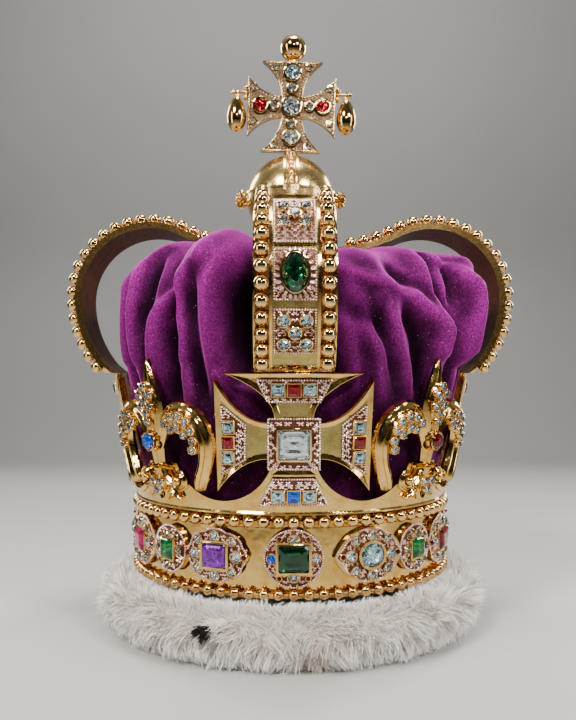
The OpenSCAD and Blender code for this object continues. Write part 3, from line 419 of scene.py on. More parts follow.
def soft_light(name, place, aim, width, height, watts, colour, spread):
    """An area light that faces the point it aims at, with its spread held in to so many degrees."""
    data = bpy.data.lights.new(name, "AREA")
    data.shape = "RECTANGLE"
    data.size, data.size_y = width, height
    data.energy = watts
    data.color = colour
    data.spread = math.radians(spread)
    lamp = bpy.data.objects.new(name, data)
    scene.collection.objects.link(lamp)
    lamp.location = place
    way = np.array(aim) - np.array(place)
    flat = math.hypot(way[0], way[1])
    lamp.rotation_euler = (math.atan2(flat, -way[2]), 0, math.atan2(way[1], way[0]) - math.pi / 2)


# name, place, aim, width, height, watts, colour, spread in degrees
for row in (
        ("key_light", (-0.5, -0.8, 1.0), (0, 0, 0.17), 0.22, 0.22, 2.2, (1.0, 0.96, 0.9), 60),
        ("right_light", (0.6, -0.75, 0.8), (0, 0, 0.17), 0.16, 0.16, 1.2, (1.0, 0.97, 0.93), 60),
        ("top_light", (0.05, -0.05, 1.2), (0, 0, 0.2), 0.4, 0.3, 2.4, (1.0, 0.98, 0.96), 90),
        ("left_strip", (-0.72, -0.42, 0.3), (0, 0, 0.12), 0.08, 0.8, 1.0, (1.0, 0.98, 0.95), 120),
        ("right_strip", (0.78, -0.36, 0.3), (0, 0, 0.12), 0.08, 0.8, 1.0, (0.97, 0.98, 1.0), 120),
        ("front_spark", (0.12, -1.0, 0.62), (0, 0, 0.12), 0.1, 0.06, 0.3, (1.0, 0.98, 0.95), 60),
        ("rim_light_left", (-0.8, 0.8, 0.7), (0, 0, 0.2), 0.2, 0.6, 2.5, (1.0, 0.97, 0.92), 90),
        ("rim_light_right", (0.8, 0.8, 0.6), (0, 0, 0.2), 0.2, 0.6, 2.5, (1.0, 0.97, 0.92), 90),
        ("backdrop_light", (0, 0.35, 1.6), (0, 1.4, 0.5), 1.6, 0.3, 9, (1.0, 1.0, 1.0), 130)):
    soft_light(*row)

world = bpy.data.worlds.new("studio")
scene.world = world
world.use_nodes = True
sky = world.node_tree
way = node(sky, "TexCoord").outputs["Generated"]
part = node(sky, "SeparateXYZ", {"Vector": way})
up = ramp(sky, node(sky, "MapRange", {"Value": part.outputs["Z"], "From Min": -1.0}).outputs["Result"],
          [(0.0, 0.2), (0.48, 0.22), (0.56, 0.4), (0.72, 0.75), (1.0, 1.0)])
front = ramp(sky, node(sky, "MapRange", {"Value": part.outputs["Y"], "From Min": -1.0}).outputs["Result"],
             [(0.0, 0.07), (0.35, 0.16), (0.6, 0.55), (0.8, 1.0)])
room = mixed(sky, 1.0, up, front, "MULTIPLY")
sky.links.new(room, sky.nodes["Background"].inputs["Color"])
sky.nodes["Background"].inputs["Strength"].default_value = 0.55

floor_paint, tree, shader = new_material("floor_paint")
tone = node(tree, "TexNoise", {"Vector": object_place(tree), "Scale": 3.0, "Detail": 4.0})
base_ramp(tree, shader, tone.outputs["Fac"], [(0.3, (0.47, 0.46, 0.44)), (0.7, (0.5, 0.49, 0.47))])
shader.inputs["Roughness"].default_value = 0.55
sweep = bpy.data.meshes.new("studio_floor")
profile = [(-1.6, 0.0), (0.9, 0.0)]
profile += [(0.9 + 0.5 * math.sin(a), 0.5 - 0.5 * math.cos(a)) for a in np.linspace(0.1, math.pi / 2, 14)]
profile += [(1.4, 2.2)]
sweep.from_pydata([(x, y, z) for x in (-2.4, 2.4) for y, z in profile], [],
                  [(k, k + 1, k + 1 + len(profile), k + len(profile)) for k in range(len(profile) - 1)])
for polygon in sweep.polygons:
    polygon.use_smooth = True
sweep.materials.append(floor_paint)
studio_floor = bpy.data.objects.new("studio_floor", sweep)
scene.collection.objects.link(studio_floor)
print("camera at", [round(v, 3) for v in camera.location], "and", len(bpy.data.lights), "soft lights")

# %% [markdown]
# The cap is one round of silk velvet, gathered at the band and left full, so that it slumps into deep folds
# between the arches. A simulation would give folds of its own choice. The folds here are drawn instead, one
# line at a time, as a tailor would pin them: each has a path from the top edge down to the gallery, a height
# and a width on either side, so that it can roll softly on one side and drop sharply on the other.

# %% The cap's plain shape
CAP_RISE = 143.0
# share of the head's radius, share of the rise, share of each bulge taken out, share taken up
cap_rings = np.array([
    (1.000, -0.12, 0.00, 0.00), (1.000, 0.01, 0.00, 0.00), (1.022, 0.13, 0.10, 0.00),
    (1.050, 0.26, 0.30, 0.00), (1.070, 0.40, 0.50, 0.00), (1.085, 0.53, 0.72, 0.00),
    (1.090, 0.67, 0.95, 0.15), (1.070, 0.79, 1.00, 0.50), (1.000, 0.885, 0.90, 0.85),
    (0.860, 0.950, 0.66, 1.00), (0.660, 0.985, 0.36, 0.78), (0.440, 0.998, 0.12, 0.14),
    (0.200, 1.000, 0.00, 0.00), (0.02, 1.0, 0.0, 0.0)])
# azimuth, how far out, how far up, width in degrees
cap_bulges = [
    (-74, 7, 8, 10), (-53, 10, 12, 11), (-27, 9, 16, 10), (0, -7, -3, 9), (27, 9, 5, 10), (49, 14, 8, 10),
    (71, 19, 7, 10), (104, 15, 9, 10), (129, 15, 14, 12), (154, 9, 14, 10), (180, -6, -3, 9),
    (206, 10, 15, 10), (231, 14, 14, 11), (256, 9, 8, 10)]


def along_rows(rows, s):
    """A smooth curve through the rows, read at s, which counts rows."""
    k = np.clip(np.floor(s).astype(int), 0, len(rows) - 2)
    t = (s - k)[..., None]
    a, b = rows[np.maximum(k - 1, 0)], rows[k]
    c, d = rows[k + 1], rows[np.minimum(k + 2, len(rows) - 1)]
    return 0.5 * (2 * b + (c - a) * t + (2 * a - 5 * b + 4 * c - d) * t * t
                  + (3 * b - a - 3 * c + d) * t ** 3)


def turn_gap(a, b):
    return (a - b + 540) % 360 - 180


AROUND, DOWN = 320, 92
turn, row = np.meshgrid(np.arange(AROUND) * 360 / AROUND, np.linspace(0, len(cap_rings) - 1, DOWN))
ring = along_rows(cap_rings, row)
boxy_rows = np.array([0, 0, 0, 0, 0, 0, 0, 0.02, 0.1, 0.24, 0.2, 0.04, 0, 0])
boxy = np.interp(row, np.arange(len(boxy_rows)), boxy_rows)


def turn_hump(at, width):
    """One at an azimuth and fading to nought on both sides of it."""
    return np.exp(-(turn_gap(turn, at) / width) ** 2)


ring[..., 0] += boxy * turn_hump(76, 20)
ring[..., 0] += 0.45 * boxy * turn_hump(-72, 20)
bulge = sum(out_by * turn_hump(at, width) for at, out_by, _, width in cap_bulges)
lift = sum(up_by * turn_hump(at, width) for at, _, up_by, width in cap_bulges)
cap_r = ring[..., 0] * HEAD_R + ring[..., 2] * bulge
cap_z = RIM_Z + ring[..., 1] * CAP_RISE + ring[..., 3] * lift
print("cap grid", cap_r.shape, "widest", round(float(cap_r.max()), 1), "mm")

# %% The folds, drawn one by one
# Each fold: height in mm (a valley is below zero), width in mm on its left and right, then azimuth and height
# of its points
folds = [
    (7.0, 3.5, 8.0, [(-33, 226), (-34.6, 203), (-42.5, 189.5), (-45.9, 180), (-47.7, 160), (-49, 140)]),
    (7.5, 4.0, 5.0, [(-27, 222), (-34.5, 188.7), (-31.7, 173), (-32.5, 154.4), (-32.8, 136)]),
    (-9.0, 4.5, 4.0, [(-37, 196), (-39, 175), (-39.1, 159), (-39.9, 137)]),
    (7.5, 7.0, 3.5, [(-20, 224), (-24, 194), (-23, 167), (-21.5, 148)]),
    (-20.0, 4.5, 9.0, [(-13, 210), (-17.5, 197), (-17.8, 174), (-16.2, 152)]),
    (-6.0, 4.0, 3.0, [(-30, 214), (-29.5, 190), (-28.3, 165), (-28, 138)]),
    (5.0, 4.0, 7.0, [(-56, 214), (-57, 196), (-58, 176), (-56, 150)]),
    (-8.0, 4.0, 5.0, [(-51, 216), (-51.5, 198), (-52.5, 176), (-53, 142)]),
    (6.0, 5.0, 4.0, [(-68, 210), (-66, 190), (-66, 165), (-63, 142)]),
    (-6.5, 3.5, 3.0, [(-61.5, 206), (-61.5, 186), (-61, 160), (-60, 140)]),
    (6.0, 4.0, 5.0, [(15.8, 208.5), (23.4, 202), (31.5, 193), (37.3, 191), (41, 193)]),
    (-9.0, 5.0, 4.0, [(11, 214), (13.5, 197), (16.5, 189), (20, 180), (26, 176)]),
    (4.5, 2.6, 3.0, [(14.8, 190), (15.8, 169), (17.5, 154), (19.4, 140)]),
    (5.5, 4.0, 5.0, [(16.2, 195), (23, 169), (26.6, 148), (27.5, 136)]),
    (5.0, 4.0, 5.0, [(28, 184), (30.5, 169), (34.7, 156), (39.6, 140)]),
    (-5.5, 3.0, 3.0, [(24, 186), (27.5, 166), (30, 148)]),
    (-15.0, 4.5, 5.5, [(9.5, 204), (10.5, 190), (11, 170), (12, 148)]),
    (7.0, 4.5, 5.0, [(38.7, 194), (42.5, 185), (48, 178.5), (48, 171), (47.3, 158.5), (47.6, 138)]),
    (-11.0, 4.5, 4.5, [(51.5, 218), (50.3, 196), (55.7, 182), (59.5, 168), (60, 142)]),
    (-7.0, 4.0, 4.0, [(31.5, 209), (37.8, 201), (43, 196)]),
    (-7.0, 4.0, 4.0, [(36, 186), (40, 174), (42, 158), (42.5, 138)]),
    (8.0, 5.0, 6.0, [(56, 224), (66, 205), (68, 196), (66, 180), (66, 150)]),
    (6.0, 4.0, 6.0, [(78, 214), (79, 196), (77, 172), (74, 148)]),
    (-9.0, 4.0, 4.5, [(72.5, 206), (73.5, 184), (71.5, 160), (70, 140)]),
    (-7.0, 3.5, 3.5, [(61, 226), (60, 208), (58, 196)]),
]
side_fall = [(6.0, 5, 4), (-8.5, 4, 5), (5.5, 4, 6), (-6.5, 4, 3.5), (7.0, 6, 4), (-9.0, 4.5, 4), (5.0, 4, 5)]
for k, base in enumerate(np.arange(92, 284, 8.6)):
    high, left, right = side_fall[k % 7]
    sway = 3.2 * math.sin(k * 2.1)
    folds.append((high * (0.8 + 0.35 * math.sin(k * 1.7)), left, right,
                  [(base - sway, 222), (base + sway, 196),
                   (base + 0.6 * sway, 168), (base - 0.8 * sway, 138)]))


def fold_height(high, left, right, line):
    """How far one fold lifts each point of the cap."""
    line = np.array(line, float)[np.argsort([p[1] for p in line])]
    s = np.interp(cap_z, line[:, 1], np.arange(len(line)))
    path = along_rows(line, s)[..., 0]
    across = np.radians(turn_gap(turn, path)) * cap_r
    width = np.where(across < 0, left, right)
    ends = np.clip((cap_z - line[0, 1] + 8) / 16, 0, 1) * np.clip((line[-1, 1] + 8 - cap_z) / 14, 0, 1)
    return high * ends * np.exp(-np.abs(across / (1.15 * width)) ** 2.3)


drawn = sum(fold_height(*f) for f in folds)
print(len(folds), "folds drawn, from", round(float(drawn.min()), 1), "to", round(float(drawn.max()), 1), "mm")

# %% Small creases, and room for the wall and arches
def waves(scale_turn, scale_z, count, seed):
    """Soft random ripples that run mostly down the cloth."""
    r = np.random.default_rng(seed)
    total = np.zeros_like(cap_r)
    for _ in range(count):
        a = r.integers(int(scale_turn * 0.6), int(scale_turn * 1.5) + 1)
        b = r.normal(0, scale_z)
        total += np.sin(np.radians(turn) * a + cap_z * b + r.uniform(0, 6.3)) * r.uniform(0.4, 1)
    return total / math.sqrt(count)


share = np.clip((row - 1.2) / 3, 0, 1) * np.clip((11.2 - row) / 3, 0, 1)
full = np.clip((row - 1.0) / 2, 0, 1) * np.clip((11.5 - row) / 2, 0, 1)
ripple = 0.9 * waves(26, 0.035, 9, 3) + 0.45 * waves(60, 0.06, 9, 5)
steep = np.clip(ring[..., 0] - 0.55, 0, 0.35) / 0.35
out = full * np.where(drawn > 0, 1.1, 1.3) * drawn + share * ripple


def softened(grid, passes):
    """The grid averaged with its neighbours, round the cap and down it."""
    for _ in range(passes):
        grid = 0.5 * grid + 0.25 * (np.roll(grid, 1, 1) + np.roll(grid, -1, 1))
        padded = np.vstack([grid[:1], grid, grid[-1:]])
        grid = 0.5 * grid + 0.25 * (padded[:-2] + padded[2:])
    return grid


out = softened(out, 2)
# painted shade: how deep each point lies in a fold valley, kept on the mesh to darken the velvet there
hollow = np.clip((softened(out, 30) - out) / 5.0, 0, 1)
# painted highlight: how far each point stands out on a fold ridge, kept on the mesh to lighten the velvet
# there
ridge = np.clip((out - softened(out, 14)) / 3.2, 0, 1)
print("valleys cover", round(float((hollow > 0.5).mean()) * 100), "% of the cap")
cap_r2 = cap_r + out * (0.35 + 0.65 * steep)
cap_z2 = cap_z + out * 0.5 * (1 - steep) + 0.12 * out * steep
held = np.where(cap_z2 < RIM_Z + 3, HEAD_R - 0.3, wall_radius(cap_z2) - GALLERY_WALL - 1.0
                + 1.5 * np.maximum(0, cap_z2 - CROSS_TOP_Z - 4))
near = 1.5
cap_r2 = -near * np.logaddexp(-cap_r2 / near, -held / near)
cap_r2 = np.minimum(cap_r2, held - 0.1)
cap_points = np.stack([cap_r2 * np.sin(np.radians(turn)), -cap_r2 * np.cos(np.radians(turn)), cap_z2], -1)
for quarter in QUARTERS.values():
    a = math.radians(quarter)
    out_way = np.array([math.sin(a), -math.cos(a)])
    side_way = np.array([math.cos(a), math.sin(a)])
    reach = cap_points[..., :2] @ out_way
    across = cap_points[..., :2] @ side_way
    soft = np.clip((ARCH_W / 2 + 7 - np.abs(across)) / 5, 0, 1)
    for centre, r_in in ((low_centre, ARCH_LOW_R), (top_centre, ARCH_TOP_R)):
        limit = r_in + PLATE_IN - 1.6
        gap = np.stack([reach - centre[0], cap_points[..., 2] - centre[1]], -1)
        far = np.linalg.norm(gap, axis=-1)
        sector = (reach > centre[0] - 6) & (gap[..., 1] < 0 if centre is low_centre else gap[..., 1] >= 0)
        above = np.clip((cap_points[..., 2] - CROSS_TOP_Z + 6) / 8, 0, 1)
        over = np.where(sector, np.maximum(far - limit, 0), 0) * soft * above
        pull = gap / (far[..., None] + 1e-9) * over[..., None]
        cap_points[..., :2] -= pull[..., :1] * out_way
        cap_points[..., 2] -= pull[..., 1]
        reach = cap_points[..., :2] @ out_way
    gap = np.stack([reach - dip_centre[0], cap_points[..., 2] - dip_centre[1]], -1)
    far = np.linalg.norm(gap, axis=-1)
    under = ARCH_DIP_R - PLATE_IN + 1.6
    over = np.where((reach > -2) & (reach < top_centre[0] - 12), np.maximum(under - far, 0), 0) * soft
    cap_points[..., 2] -= over
print("cap from z", round(float(cap_points[..., 2].min()), 1),
      "to", round(float(cap_points[..., 2].max()), 1))

# %% Velvet as a material
# Pile stands up, so velvet is dark when looked at straight on and lights up where it turns away; that sheen
# is painted into its colour here. Where it is crushed its tone is lighter, at random.
velvet, tree, shader = new_material("purple_velvet")
place = object_place(tree)
crush = node(tree, "TexNoise", {"Vector": place, "Scale": 60.0, "Detail": 9.0, "Roughness": 0.8})
pile = node(tree, "TexNoise", {"Vector": place, "Scale": 1100.0, "Detail": 2.0})
plain = ramp(tree, crush.outputs["Fac"],
             [(0.35, (0.016, 0.0004, 0.012)), (0.52, (0.05, 0.0016, 0.04)), (0.7, (0.13, 0.006, 0.104))])
# painted shade: the fold valleys are darkened towards black
depth = node(tree, "Attribute", attribute_name="hollow")
# painted highlight: the fold ridges are lightened in the colour
height = node(tree, "Attribute", attribute_name="ridge")
ridge_highlight_share = node(tree, "Math", {0: height.outputs["Fac"], 1: 0.75}, operation="MULTIPLY")
ridge_highlit_tone = mixed(tree, ridge_highlight_share.outputs[0], plain, (0.24, 0.014, 0.19, 1))
valley_shaded_tone = mixed(tree, depth.outputs["Fac"], ridge_highlit_tone, (0.005, 0.0001, 0.004, 1))
# painted sheen: the colour is lightened where the cloth turns away from the view
edge = node(tree, "LayerWeight", {"Blend": 0.32})
glow = node(tree, "MapRange", {"Value": edge.outputs["Facing"], "From Min": 0.3, "From Max": 1.0})
lit = mixed(tree, glow.outputs["Result"], valley_shaded_tone, (0.36, 0.028, 0.29, 1))
# painted shade low on the cap and painted light at its top, by height
low_shade = node(tree, "MapRange", {"Value": node(tree, "SeparateXYZ", {"Vector": place}).outputs["Z"],
                                    "From Min": 0.13, "From Max": 0.22, "To Min": 0.5, "To Max": 1.15})
lit = mixed(tree, 1.0, lit, low_shade.outputs["Result"], "MULTIPLY")
nap_tone = ramp(tree, pile.outputs["Fac"], [(0.36, (0.62, 0.62, 0.62)), (0.66, (1.5, 1.5, 1.5))])
lit = mixed(tree, 1.0, lit, nap_tone, "MULTIPLY")
lint = node(tree, "TexVoronoi", {"Vector": place, "Scale": 620.0, "Randomness": 1.0})
speck = ramp(tree, lint.outputs["Distance"], [(0.06, 0.6), (0.15, 0.0)])
chance = node(tree, "TexWhiteNoise", {"Vector": lint.outputs["Position"]})
rare = ramp(tree, chance.outputs["Value"], [(0.8, 0.0), (0.95, 1.0)])
dots = mixed(tree, 1.0, speck, rare, "MULTIPLY")
tree.links.new(mixed(tree, dots, lit, (0.75, 0.6, 0.7, 1)), shader.inputs["Base Color"])
nap = node(tree, "Bump", {"Height": pile.outputs["Fac"], "Strength": 0.5, "Distance": 0.0004})
tree.links.new(nap.outputs["Normal"], shader.inputs["Normal"])
set_values(shader, {"Roughness": 0.75, "Sheen Weight": 0.4, "Sheen Roughness": 0.35,
                    "Sheen Tint": (1.0, 0.2, 0.85, 1), "Specular IOR Level": 0.05})

# %% The cap as one sheet of cloth
faces = []
for j in range(DOWN - 1):
    for k in range(AROUND):
        a, b = j * AROUND + k, j * AROUND + (k + 1) % AROUND
        faces.append((a, b, b + AROUND, a + AROUND))
cap_mesh = bpy.data.meshes.new("velvet_drape")
cap_mesh.from_pydata((cap_points.reshape(-1, 3) * MM).tolist(), [], faces)
cap_mesh.materials.append(velvet)
for name, values in (("hollow", hollow), ("ridge", ridge)):
    shade = cap_mesh.attributes.new(name, "FLOAT", "POINT")
    shade.data.foreach_set("value", values.ravel().astype(np.float32))
for polygon in cap_mesh.polygons:
    polygon.use_smooth = True
velvet_drape = bpy.data.objects.new("velvet_drape", cap_mesh)
scene.collection.objects.link(velvet_drape)
cloth_area = sum(p.area for p in cap_mesh.polygons)
thick = velvet_drape.modifiers.new("thickness", "SOLIDIFY")
thick.thickness = 0.0012
thick.offset = -1.0
bpy.context.view_layer.objects.active = velvet_drape
velvet_drape.select_set(True)
bpy.ops.object.modifier_apply(modifier="thickness")
velvet_drape.select_set(False)
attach(velvet_drape, "root")
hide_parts("velvet_cap")
cut = 2 * math.sqrt(cloth_area / math.pi)
print("velvet round", round(cut, 3), "m across, area", round(cloth_area, 4), "m2")

# %% [markdown]
# The rim is a padded roll covered with long white fur. Hair particles would be lost in an exported model, so
# each lock is made of real strands: thin ribbons that narrow to a point. A strand leaves the roll, is combed
# outward and down, and leans towards the tip of its lock, which gives the soft tufts. The roll under them and
# the roots of the strands are darkened with painted shade, as deep in fur.

# %% The padded roll
# distance out from the head's radius and height
fur_section = np.array([
    (0.4, 1.2), (5, 0.6), (9.5, 0.8), (14.2, 3.2), (18.4, 8.5), (20.6, 14.5), (20.2, 20.5), (17.2, 25.2),
    (13.2, 27.6), (9, 28.6), (6.0, 28.8), (2.5, 28.8), (0.4, 28.4), (-0.4, 19), (-0.2, 10)])
ROLL_AROUND = 180


def roll_point(turn_deg, v):
    """A point of the roll and the way that faces out of it, at a turn and a place on its section."""
    n = len(fur_section)
    k = np.floor(v).astype(int) % n
    t = (v - np.floor(v))[:, None]
    e, b, c, d = (fur_section[(k + i) % n] for i in (-1, 0, 1, 2))
    p = 0.5 * (2 * b + (c - e) * t + (2 * e - 5 * b + 4 * c - d) * t * t + (3 * b - e - 3 * c + d) * t ** 3)
    q = 0.5 * ((c - e) + 2 * (2 * e - 5 * b + 4 * c - d) * t + 3 * (3 * b - e - 3 * c + d) * t * t)
    a = np.radians(turn_deg)
    lump = 0.8 * np.sin(a * 23 + p[:, 1] * 0.3) + 0.6 * np.sin(a * 41 + p[:, 1] * 0.5)
    out = np.clip((p[:, 0] - 10) / 8, 0, 1)
    r = HEAD_R + p[:, 0] + lump * out
    ring_out = np.stack([np.sin(a), -np.cos(a), np.zeros_like(a)], 1)
    q /= np.linalg.norm(q, axis=1)[:, None] + 1e-9
    normal = ring_out * q[:, 1:] + np.array([0, 0, 1.0]) * -q[:, :1]
    along = ring_out * q[:, :1] + np.array([0, 0, 1.0]) * q[:, 1:]
    point = ring_out * r[:, None] + np.array([0, 0, 1.0]) * p[:, 1:]
    return point, normal, along


fur_coat, tree, shader = new_material("fur_coat")
place = object_place(tree)
part = node(tree, "SeparateXYZ", {"Vector": place})


def sums(kind, a, b=0.0):
    return node(tree, "Math", {0: a, 1: b}, operation=kind).outputs[0]


def fade(value, low, high, start=0.0, end=1.0):
    limits = {"Value": value, "From Min": low, "From Max": high, "To Min": start, "To Max": end}
    return node(tree, "MapRange", limits).outputs["Result"]


# how far a point lies from the middle of the roll's section
flat = node(tree, "CombineXYZ", {"X": part.outputs["X"], "Y": part.outputs["Y"]})
ring_r = node(tree, "VectorMath", {"Vector": flat.outputs["Vector"]}, operation="LENGTH")
off = node(tree, "CombineXYZ", {"X": sums("SUBTRACT", ring_r.outputs["Value"], 0.104),
                                "Y": sums("SUBTRACT", part.outputs["Z"], 0.018)})
depth = node(tree, "VectorMath", {"Vector": off.outputs["Vector"]}, operation="LENGTH")
# painted shade: darker near the middle of the roll, at the roots of the strands
root = ramp(tree, fade(depth.outputs["Value"], 0.013, 0.021),
            [(0.0, (0.72, 0.67, 0.61)), (0.3, (0.95, 0.93, 0.9)), (1.0, (1.0, 0.99, 0.98))])
# grey patches that vary at random, held low down at the front and back as painted shade
patch = node(tree, "TexNoise", {"Vector": place, "Scale": 17.0, "Detail": 3.0, "Roughness": 0.6})
grey_patch = ramp(tree, patch.outputs["Fac"], [(0.42, 0.15), (0.62, 0.8)])
middle = fade(sums("ABSOLUTE", part.outputs["X"]), 0.03, 0.085, 1.0, 0.12)
lower_fur_shade = fade(part.outputs["Z"], 0.008, 0.026, 0.9, 0.1)
grey = mixed(tree, 1.0, grey_patch, sums("MULTIPLY", middle, lower_fur_shade), "MULTIPLY")
strand = node(tree, "TexNoise", {"Vector": place, "Scale": 900.0, "Detail": 1.0})
fine = ramp(tree, strand.outputs["Fac"], [(0.3, (0.88, 0.86, 0.84)), (0.6, (1, 1, 1))])
# painted shade: the patches lay a grey-brown tone over the coat
coat = mixed(tree, grey, root, (0.5, 0.43, 0.36, 1))
tree.links.new(mixed(tree, 1.0, coat, fine, "MULTIPLY"), shader.inputs["Base Color"])
set_values(shader, {
    "Roughness": 0.62, "Sheen Weight": 0.9, "Sheen Roughness": 0.5, "Specular IOR Level": 0.35})

places = np.arange(0, len(fur_section), 0.5)
turn_roll, v_roll = np.meshgrid(np.arange(ROLL_AROUND) * 360 / ROLL_AROUND, places, indexing="ij")
roll_points, _, _ = roll_point(turn_roll.ravel(), v_roll.ravel())
around = len(places)
roll_faces = []
for i in range(ROLL_AROUND):
    for j in range(around):
        a, b = i * around, (i + 1) % ROLL_AROUND * around
        k = (j + 1) % around
        roll_faces.append((a + j, a + k, b + k, b + j))
roll = Heap()
roll.add(roll_points, roll_faces)
fur_roll = roll.make("fur_roll", [fur_coat], "fur", sharp=180)
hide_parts("fur_rim")


# %% The strands
def strands(name, count, seed, spot=None, length=(8.5, 14.5), width=0.45, material=fur_coat):
    """Tapered ribbons that grow in leaning locks, all over the roll or from one spot of it."""
    r = np.random.default_rng(seed)
    if spot is None:
        a = r.uniform(0, 360, count)
        v = r.uniform(2.0, 11.2, count)
        locks = count // 34
        lock_a = r.uniform(0, 360, locks)
        lock_v = r.uniform(1.8, 11.4, locks)
    else:
        a = spot[0] + r.normal(0, spot[2], count)
        v = spot[1] + r.normal(0, spot[3], count)
        locks = 3
        lock_a = spot[0] + r.normal(0, spot[2] * 0.5, locks)
        lock_v = spot[1] + r.normal(0, spot[3] * 0.4, locks)
    cells = np.stack([a / 360 * 690, v * 7], 1)
    lock_cells = np.stack([lock_a / 360 * 690, lock_v * 7], 1)
    nearest = np.empty(count, int)
    for start in range(0, count, 4000):
        gap = cells[start:start + 4000, None, :] - lock_cells[None]
        nearest[start:start + 4000] = np.argmin((gap ** 2).sum(2), 1)
    root, normal, along = roll_point(a, v)
    lock_root, lock_normal, lock_along = roll_point(lock_a, lock_v)
    side = np.cross(normal, along)
    lock_comb = np.tanh((lock_v - 5.6) * 0.55)[:, None] * lock_along
    lock_side = np.cross(lock_normal, lock_along)
    lock_len = r.uniform(*length, locks)[:, None]
    swirl = r.normal(0, 0.42, locks)[:, None]
    lock_way = lock_normal * 0.72 + lock_comb * 0.55 + lock_side * swirl + np.array([0, 0, -0.22])
    lock_way /= np.linalg.norm(lock_way, axis=1)[:, None]
    lock_tip = lock_root + lock_way * lock_len
    own = lock_len[nearest] * r.uniform(0.75, 1.12, count)[:, None]
    stray = side * r.normal(0, 0.16, count)[:, None], along * r.normal(0, 0.16, count)[:, None]
    way = lock_way[nearest] + normal * 0.25 + stray[0] + stray[1]
    top = np.clip((v - 7.0) / 2.0, 0, 1)[:, None]
    sideways = np.clip((np.abs(np.sin(np.radians(a))) - 0.6) / 0.35, 0, 1)[:, None]
    way[:, 2:] = way[:, 2:] * (1 - top) + np.minimum(way[:, 2:], 0.16 + 0.75 * sideways) * top
    way /= np.linalg.norm(way, axis=1)[:, None]
    low_part = np.clip((4.6 - v) / 2.0, 0, 1)[:, None]
    own = own * (1 - 0.35 * top * (1 - sideways)) * (1 - 0.4 * low_part)
    pull = r.uniform(0.1, 0.5, count)[:, None] * (1 - 0.6 * top)
    droop = r.uniform(0.5, 3.5, count)[:, None]
    side_jitter = r.normal(0, 1, count)
    rows = []
    for t in (0.0, 0.3, 0.6, 0.85, 1.0):
        p = root - normal * 0.8 + way * own * t
        p = p * (1 - pull * t * t) + (lock_tip[nearest] + (p - lock_tip[nearest]) * 0.15) * pull * t * t
        p[:, 2] -= droop[:, 0] * t * t
        low = 0.35 + 0.8 * r.random(count)
        p[:, 2] = np.maximum(p[:, 2], low)
        ring_now = np.linalg.norm(p[:, :2], axis=1)
        tucked = HEAD_R + 12.5 + 17.5 * np.sqrt(np.clip(p[:, 2] / 20, 0, 1)) + 3.5 * side_jitter
        held = np.clip(ring_now, HEAD_R + 3.2, None)
        held = np.where(held > tucked, tucked + 0.25 * (held - tucked), held)
        p[:, :2] *= (held / ring_now)[:, None]
        side_roof = sideways[:, 0] * np.clip(1.1 * (held - 101), 0, 15)
        roof = 33.0 + 0.06 * np.clip(held - 95, 0, 30) + 0.8 * low + side_roof
        p[:, 2] = np.minimum(p[:, 2], roof)
        rows.append(p)
    line = np.stack(rows, 1)
    step = np.gradient(line, axis=1)
    step /= np.linalg.norm(step, axis=2)[..., None] + 1e-9
    flat_side = np.cross(step, normal[:, None, :] + r.normal(0, 0.45, (count, 1, 3)))
    flat_side /= np.linalg.norm(flat_side, axis=2)[..., None] + 1e-9
    half = width * r.uniform(0.3, 0.62, count)[:, None] * np.array([0.8, 1.0, 0.85, 0.5])[None]
    left = line[:, :4] - flat_side[:, :4] * half[..., None]
    right = line[:, :4] + flat_side[:, :4] * half[..., None]
    points = np.concatenate([left, right, line[:, 4:]], 1).reshape(-1, 3)
    base = np.arange(count)[:, None] * 9
    quads = np.concatenate([base + np.array([[j, j + 4, j + 5, j + 1]]) for j in range(3)], 0)
    tips = base + np.array([[3, 7, 8]])
    mesh = bpy.data.meshes.new(name)
    mesh.from_pydata((points * MM).tolist(), [], quads.tolist() + tips.tolist())
    mesh.materials.append(material)
    for polygon in mesh.polygons:
        polygon.use_smooth = True
    piece = bpy.data.objects.new(name, mesh)
    scene.collection.objects.link(piece)
    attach(piece, "root")
    print(name, "has", count, "strands and", count * 7, "triangles")


FUR_STRANDS = 16500
for k in range(3):
    strands(f"fur_strands_{k}", FUR_STRANDS, 11 + k)
tail_black, tree, shader = new_material("tail_black")
tone = node(tree, "TexNoise", {"Vector": object_place(tree), "Scale": 600.0})
base_ramp(tree, shader, tone.outputs["Fac"], [(0.3, (0.004, 0.003, 0.003)), (0.7, (0.02, 0.015, 0.013))])
shader.inputs["Roughness"].default_value = 0.55
strands("tail_spot", 250, 21, spot=(-23.3, 5.9, 0.6, 0.2), length=(13.5, 15.5), width=0.85,
        material=tail_black)

# %% [markdown]
# A cut stone is a few rings of points joined by flat faces. The crown, above the girdle, gets real facets.
# The settings are shallow, so the foiled back can't go deep: it is folded into small slopes instead, which
# turn the light just as far as a deep back would. Three cuts, scaled, make every stone on the crown.

# %% Three cuts
def bridged(a, b):
    """Triangles between two rings that may have different counts."""
    na, nb = len(a), len(b)
    faces, i, j = [], 0, 0
    while i < na or j < nb:
        if j >= nb or (i < na and (i + 1) * nb <= (j + 1) * na):
            faces.append([a[i % na], a[(i + 1) % na], b[j % nb]])
            i += 1
        else:
            faces.append([a[i % na], b[(j + 1) % nb], b[j % nb]])
            j += 1
    return faces


